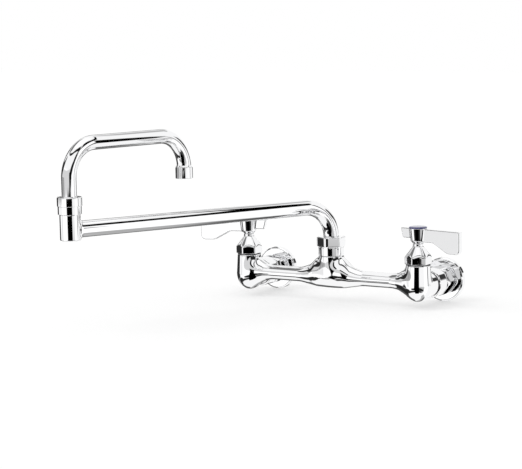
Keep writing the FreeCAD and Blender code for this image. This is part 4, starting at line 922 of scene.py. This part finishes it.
def white_world():
    """White where it is seen directly, and a little less as light on the faucet and the paper."""
    world = bpy.data.worlds.new("studio")
    bpy.context.scene.world = world
    nodes, links = node_tree(world)
    nodes.clear()
    white, fill = nodes.new("ShaderNodeBackground"), nodes.new("ShaderNodeBackground")
    white.inputs["Color"].default_value = fill.inputs["Color"].default_value = (1, 1, 1, 1)
    fill.inputs["Strength"].default_value = 0.9
    choose = nodes.new("ShaderNodeMixShader")
    links.new(seen_directly(nodes, links), choose.inputs["Fac"])
    links.new(fill.outputs[0], choose.inputs[1])
    links.new(white.outputs[0], choose.inputs[2])
    links.new(choose.outputs[0], nodes.new("ShaderNodeOutputWorld").inputs["Surface"])


def paper_finish():
    """Dull white that is half lit by itself where it is seen directly, so it keeps pale shadows."""
    paper = bpy.data.materials.new("paper")
    nodes, links = node_tree(paper)
    nodes.clear()
    dull, lit = nodes.new("ShaderNodeBsdfDiffuse"), nodes.new("ShaderNodeEmission")
    dull.inputs["Color"].default_value = (0.95, 0.95, 0.95, 1)
    half = nodes.new("ShaderNodeMath")
    half.operation = "MULTIPLY"
    half.inputs[1].default_value = 0.5
    links.new(seen_directly(nodes, links), half.inputs[0])
    blend = nodes.new("ShaderNodeMixShader")
    links.new(half.outputs[0], blend.inputs["Fac"])
    links.new(dull.outputs[0], blend.inputs[1])
    links.new(lit.outputs[0], blend.inputs[2])
    links.new(blend.outputs[0], nodes.new("ShaderNodeOutputMaterial").inputs["Surface"])
    return paper


def paper_floor():
    """The paper under the faucet, which its chrome doesn't reflect."""
    bpy.ops.mesh.primitive_plane_add(size=12)
    floor = bpy.context.active_object
    floor.name = "floor"
    floor.location = (0, 0, PAPER_LEVEL)
    floor.visible_glossy = False
    floor.data.materials.append(paper_finish())


def key_light():
    """A broad soft lamp from above and in front, on the hot side, which reflections don't show."""
    lamp = bpy.data.lights.new("key", "SUN")
    lamp.energy = 0.8
    lamp.angle = math.radians(35)
    sun = bpy.data.objects.new("key", lamp)
    bpy.context.scene.collection.objects.link(sun)
    sun.rotation_euler = (math.radians(35), math.radians(-25), 0)
    sun.visible_glossy = False


# The camera stands in front of the faucet on its cold side and looks slightly down.
CAMERA_AZIMUTH, CAMERA_ELEVATION, CAMERA_ROLL = 32.5065, 7.11165, -1.05835
CAMERA_DISTANCE, CAMERA_LENS = 1.735964, 123.148
AIM = Vector((0.0028717, -0.2004821, 0.0643721))


def photo_camera():
    """The camera of the main picture, at the place fitted to the photo."""
    lens = bpy.data.cameras.new("camera")
    lens.lens, lens.sensor_width = CAMERA_LENS, 36.0
    lens.clip_end = 30
    camera = bpy.data.objects.new("camera", lens)
    bpy.context.scene.collection.objects.link(camera)
    camera.location = AIM + CAMERA_DISTANCE * Vector(toward(CAMERA_AZIMUTH, CAMERA_ELEVATION))
    camera.rotation_euler = (AIM - camera.location).to_track_quat("-Z", "Y").to_euler()
    camera.rotation_mode = "XYZ"
    camera.rotation_euler.rotate_axis("Z", math.radians(CAMERA_ROLL))
    bpy.context.scene.camera = camera


white_world()
paper_floor()
key_light()
photo_camera()
bpy.context.scene.view_settings.view_transform = "Standard"
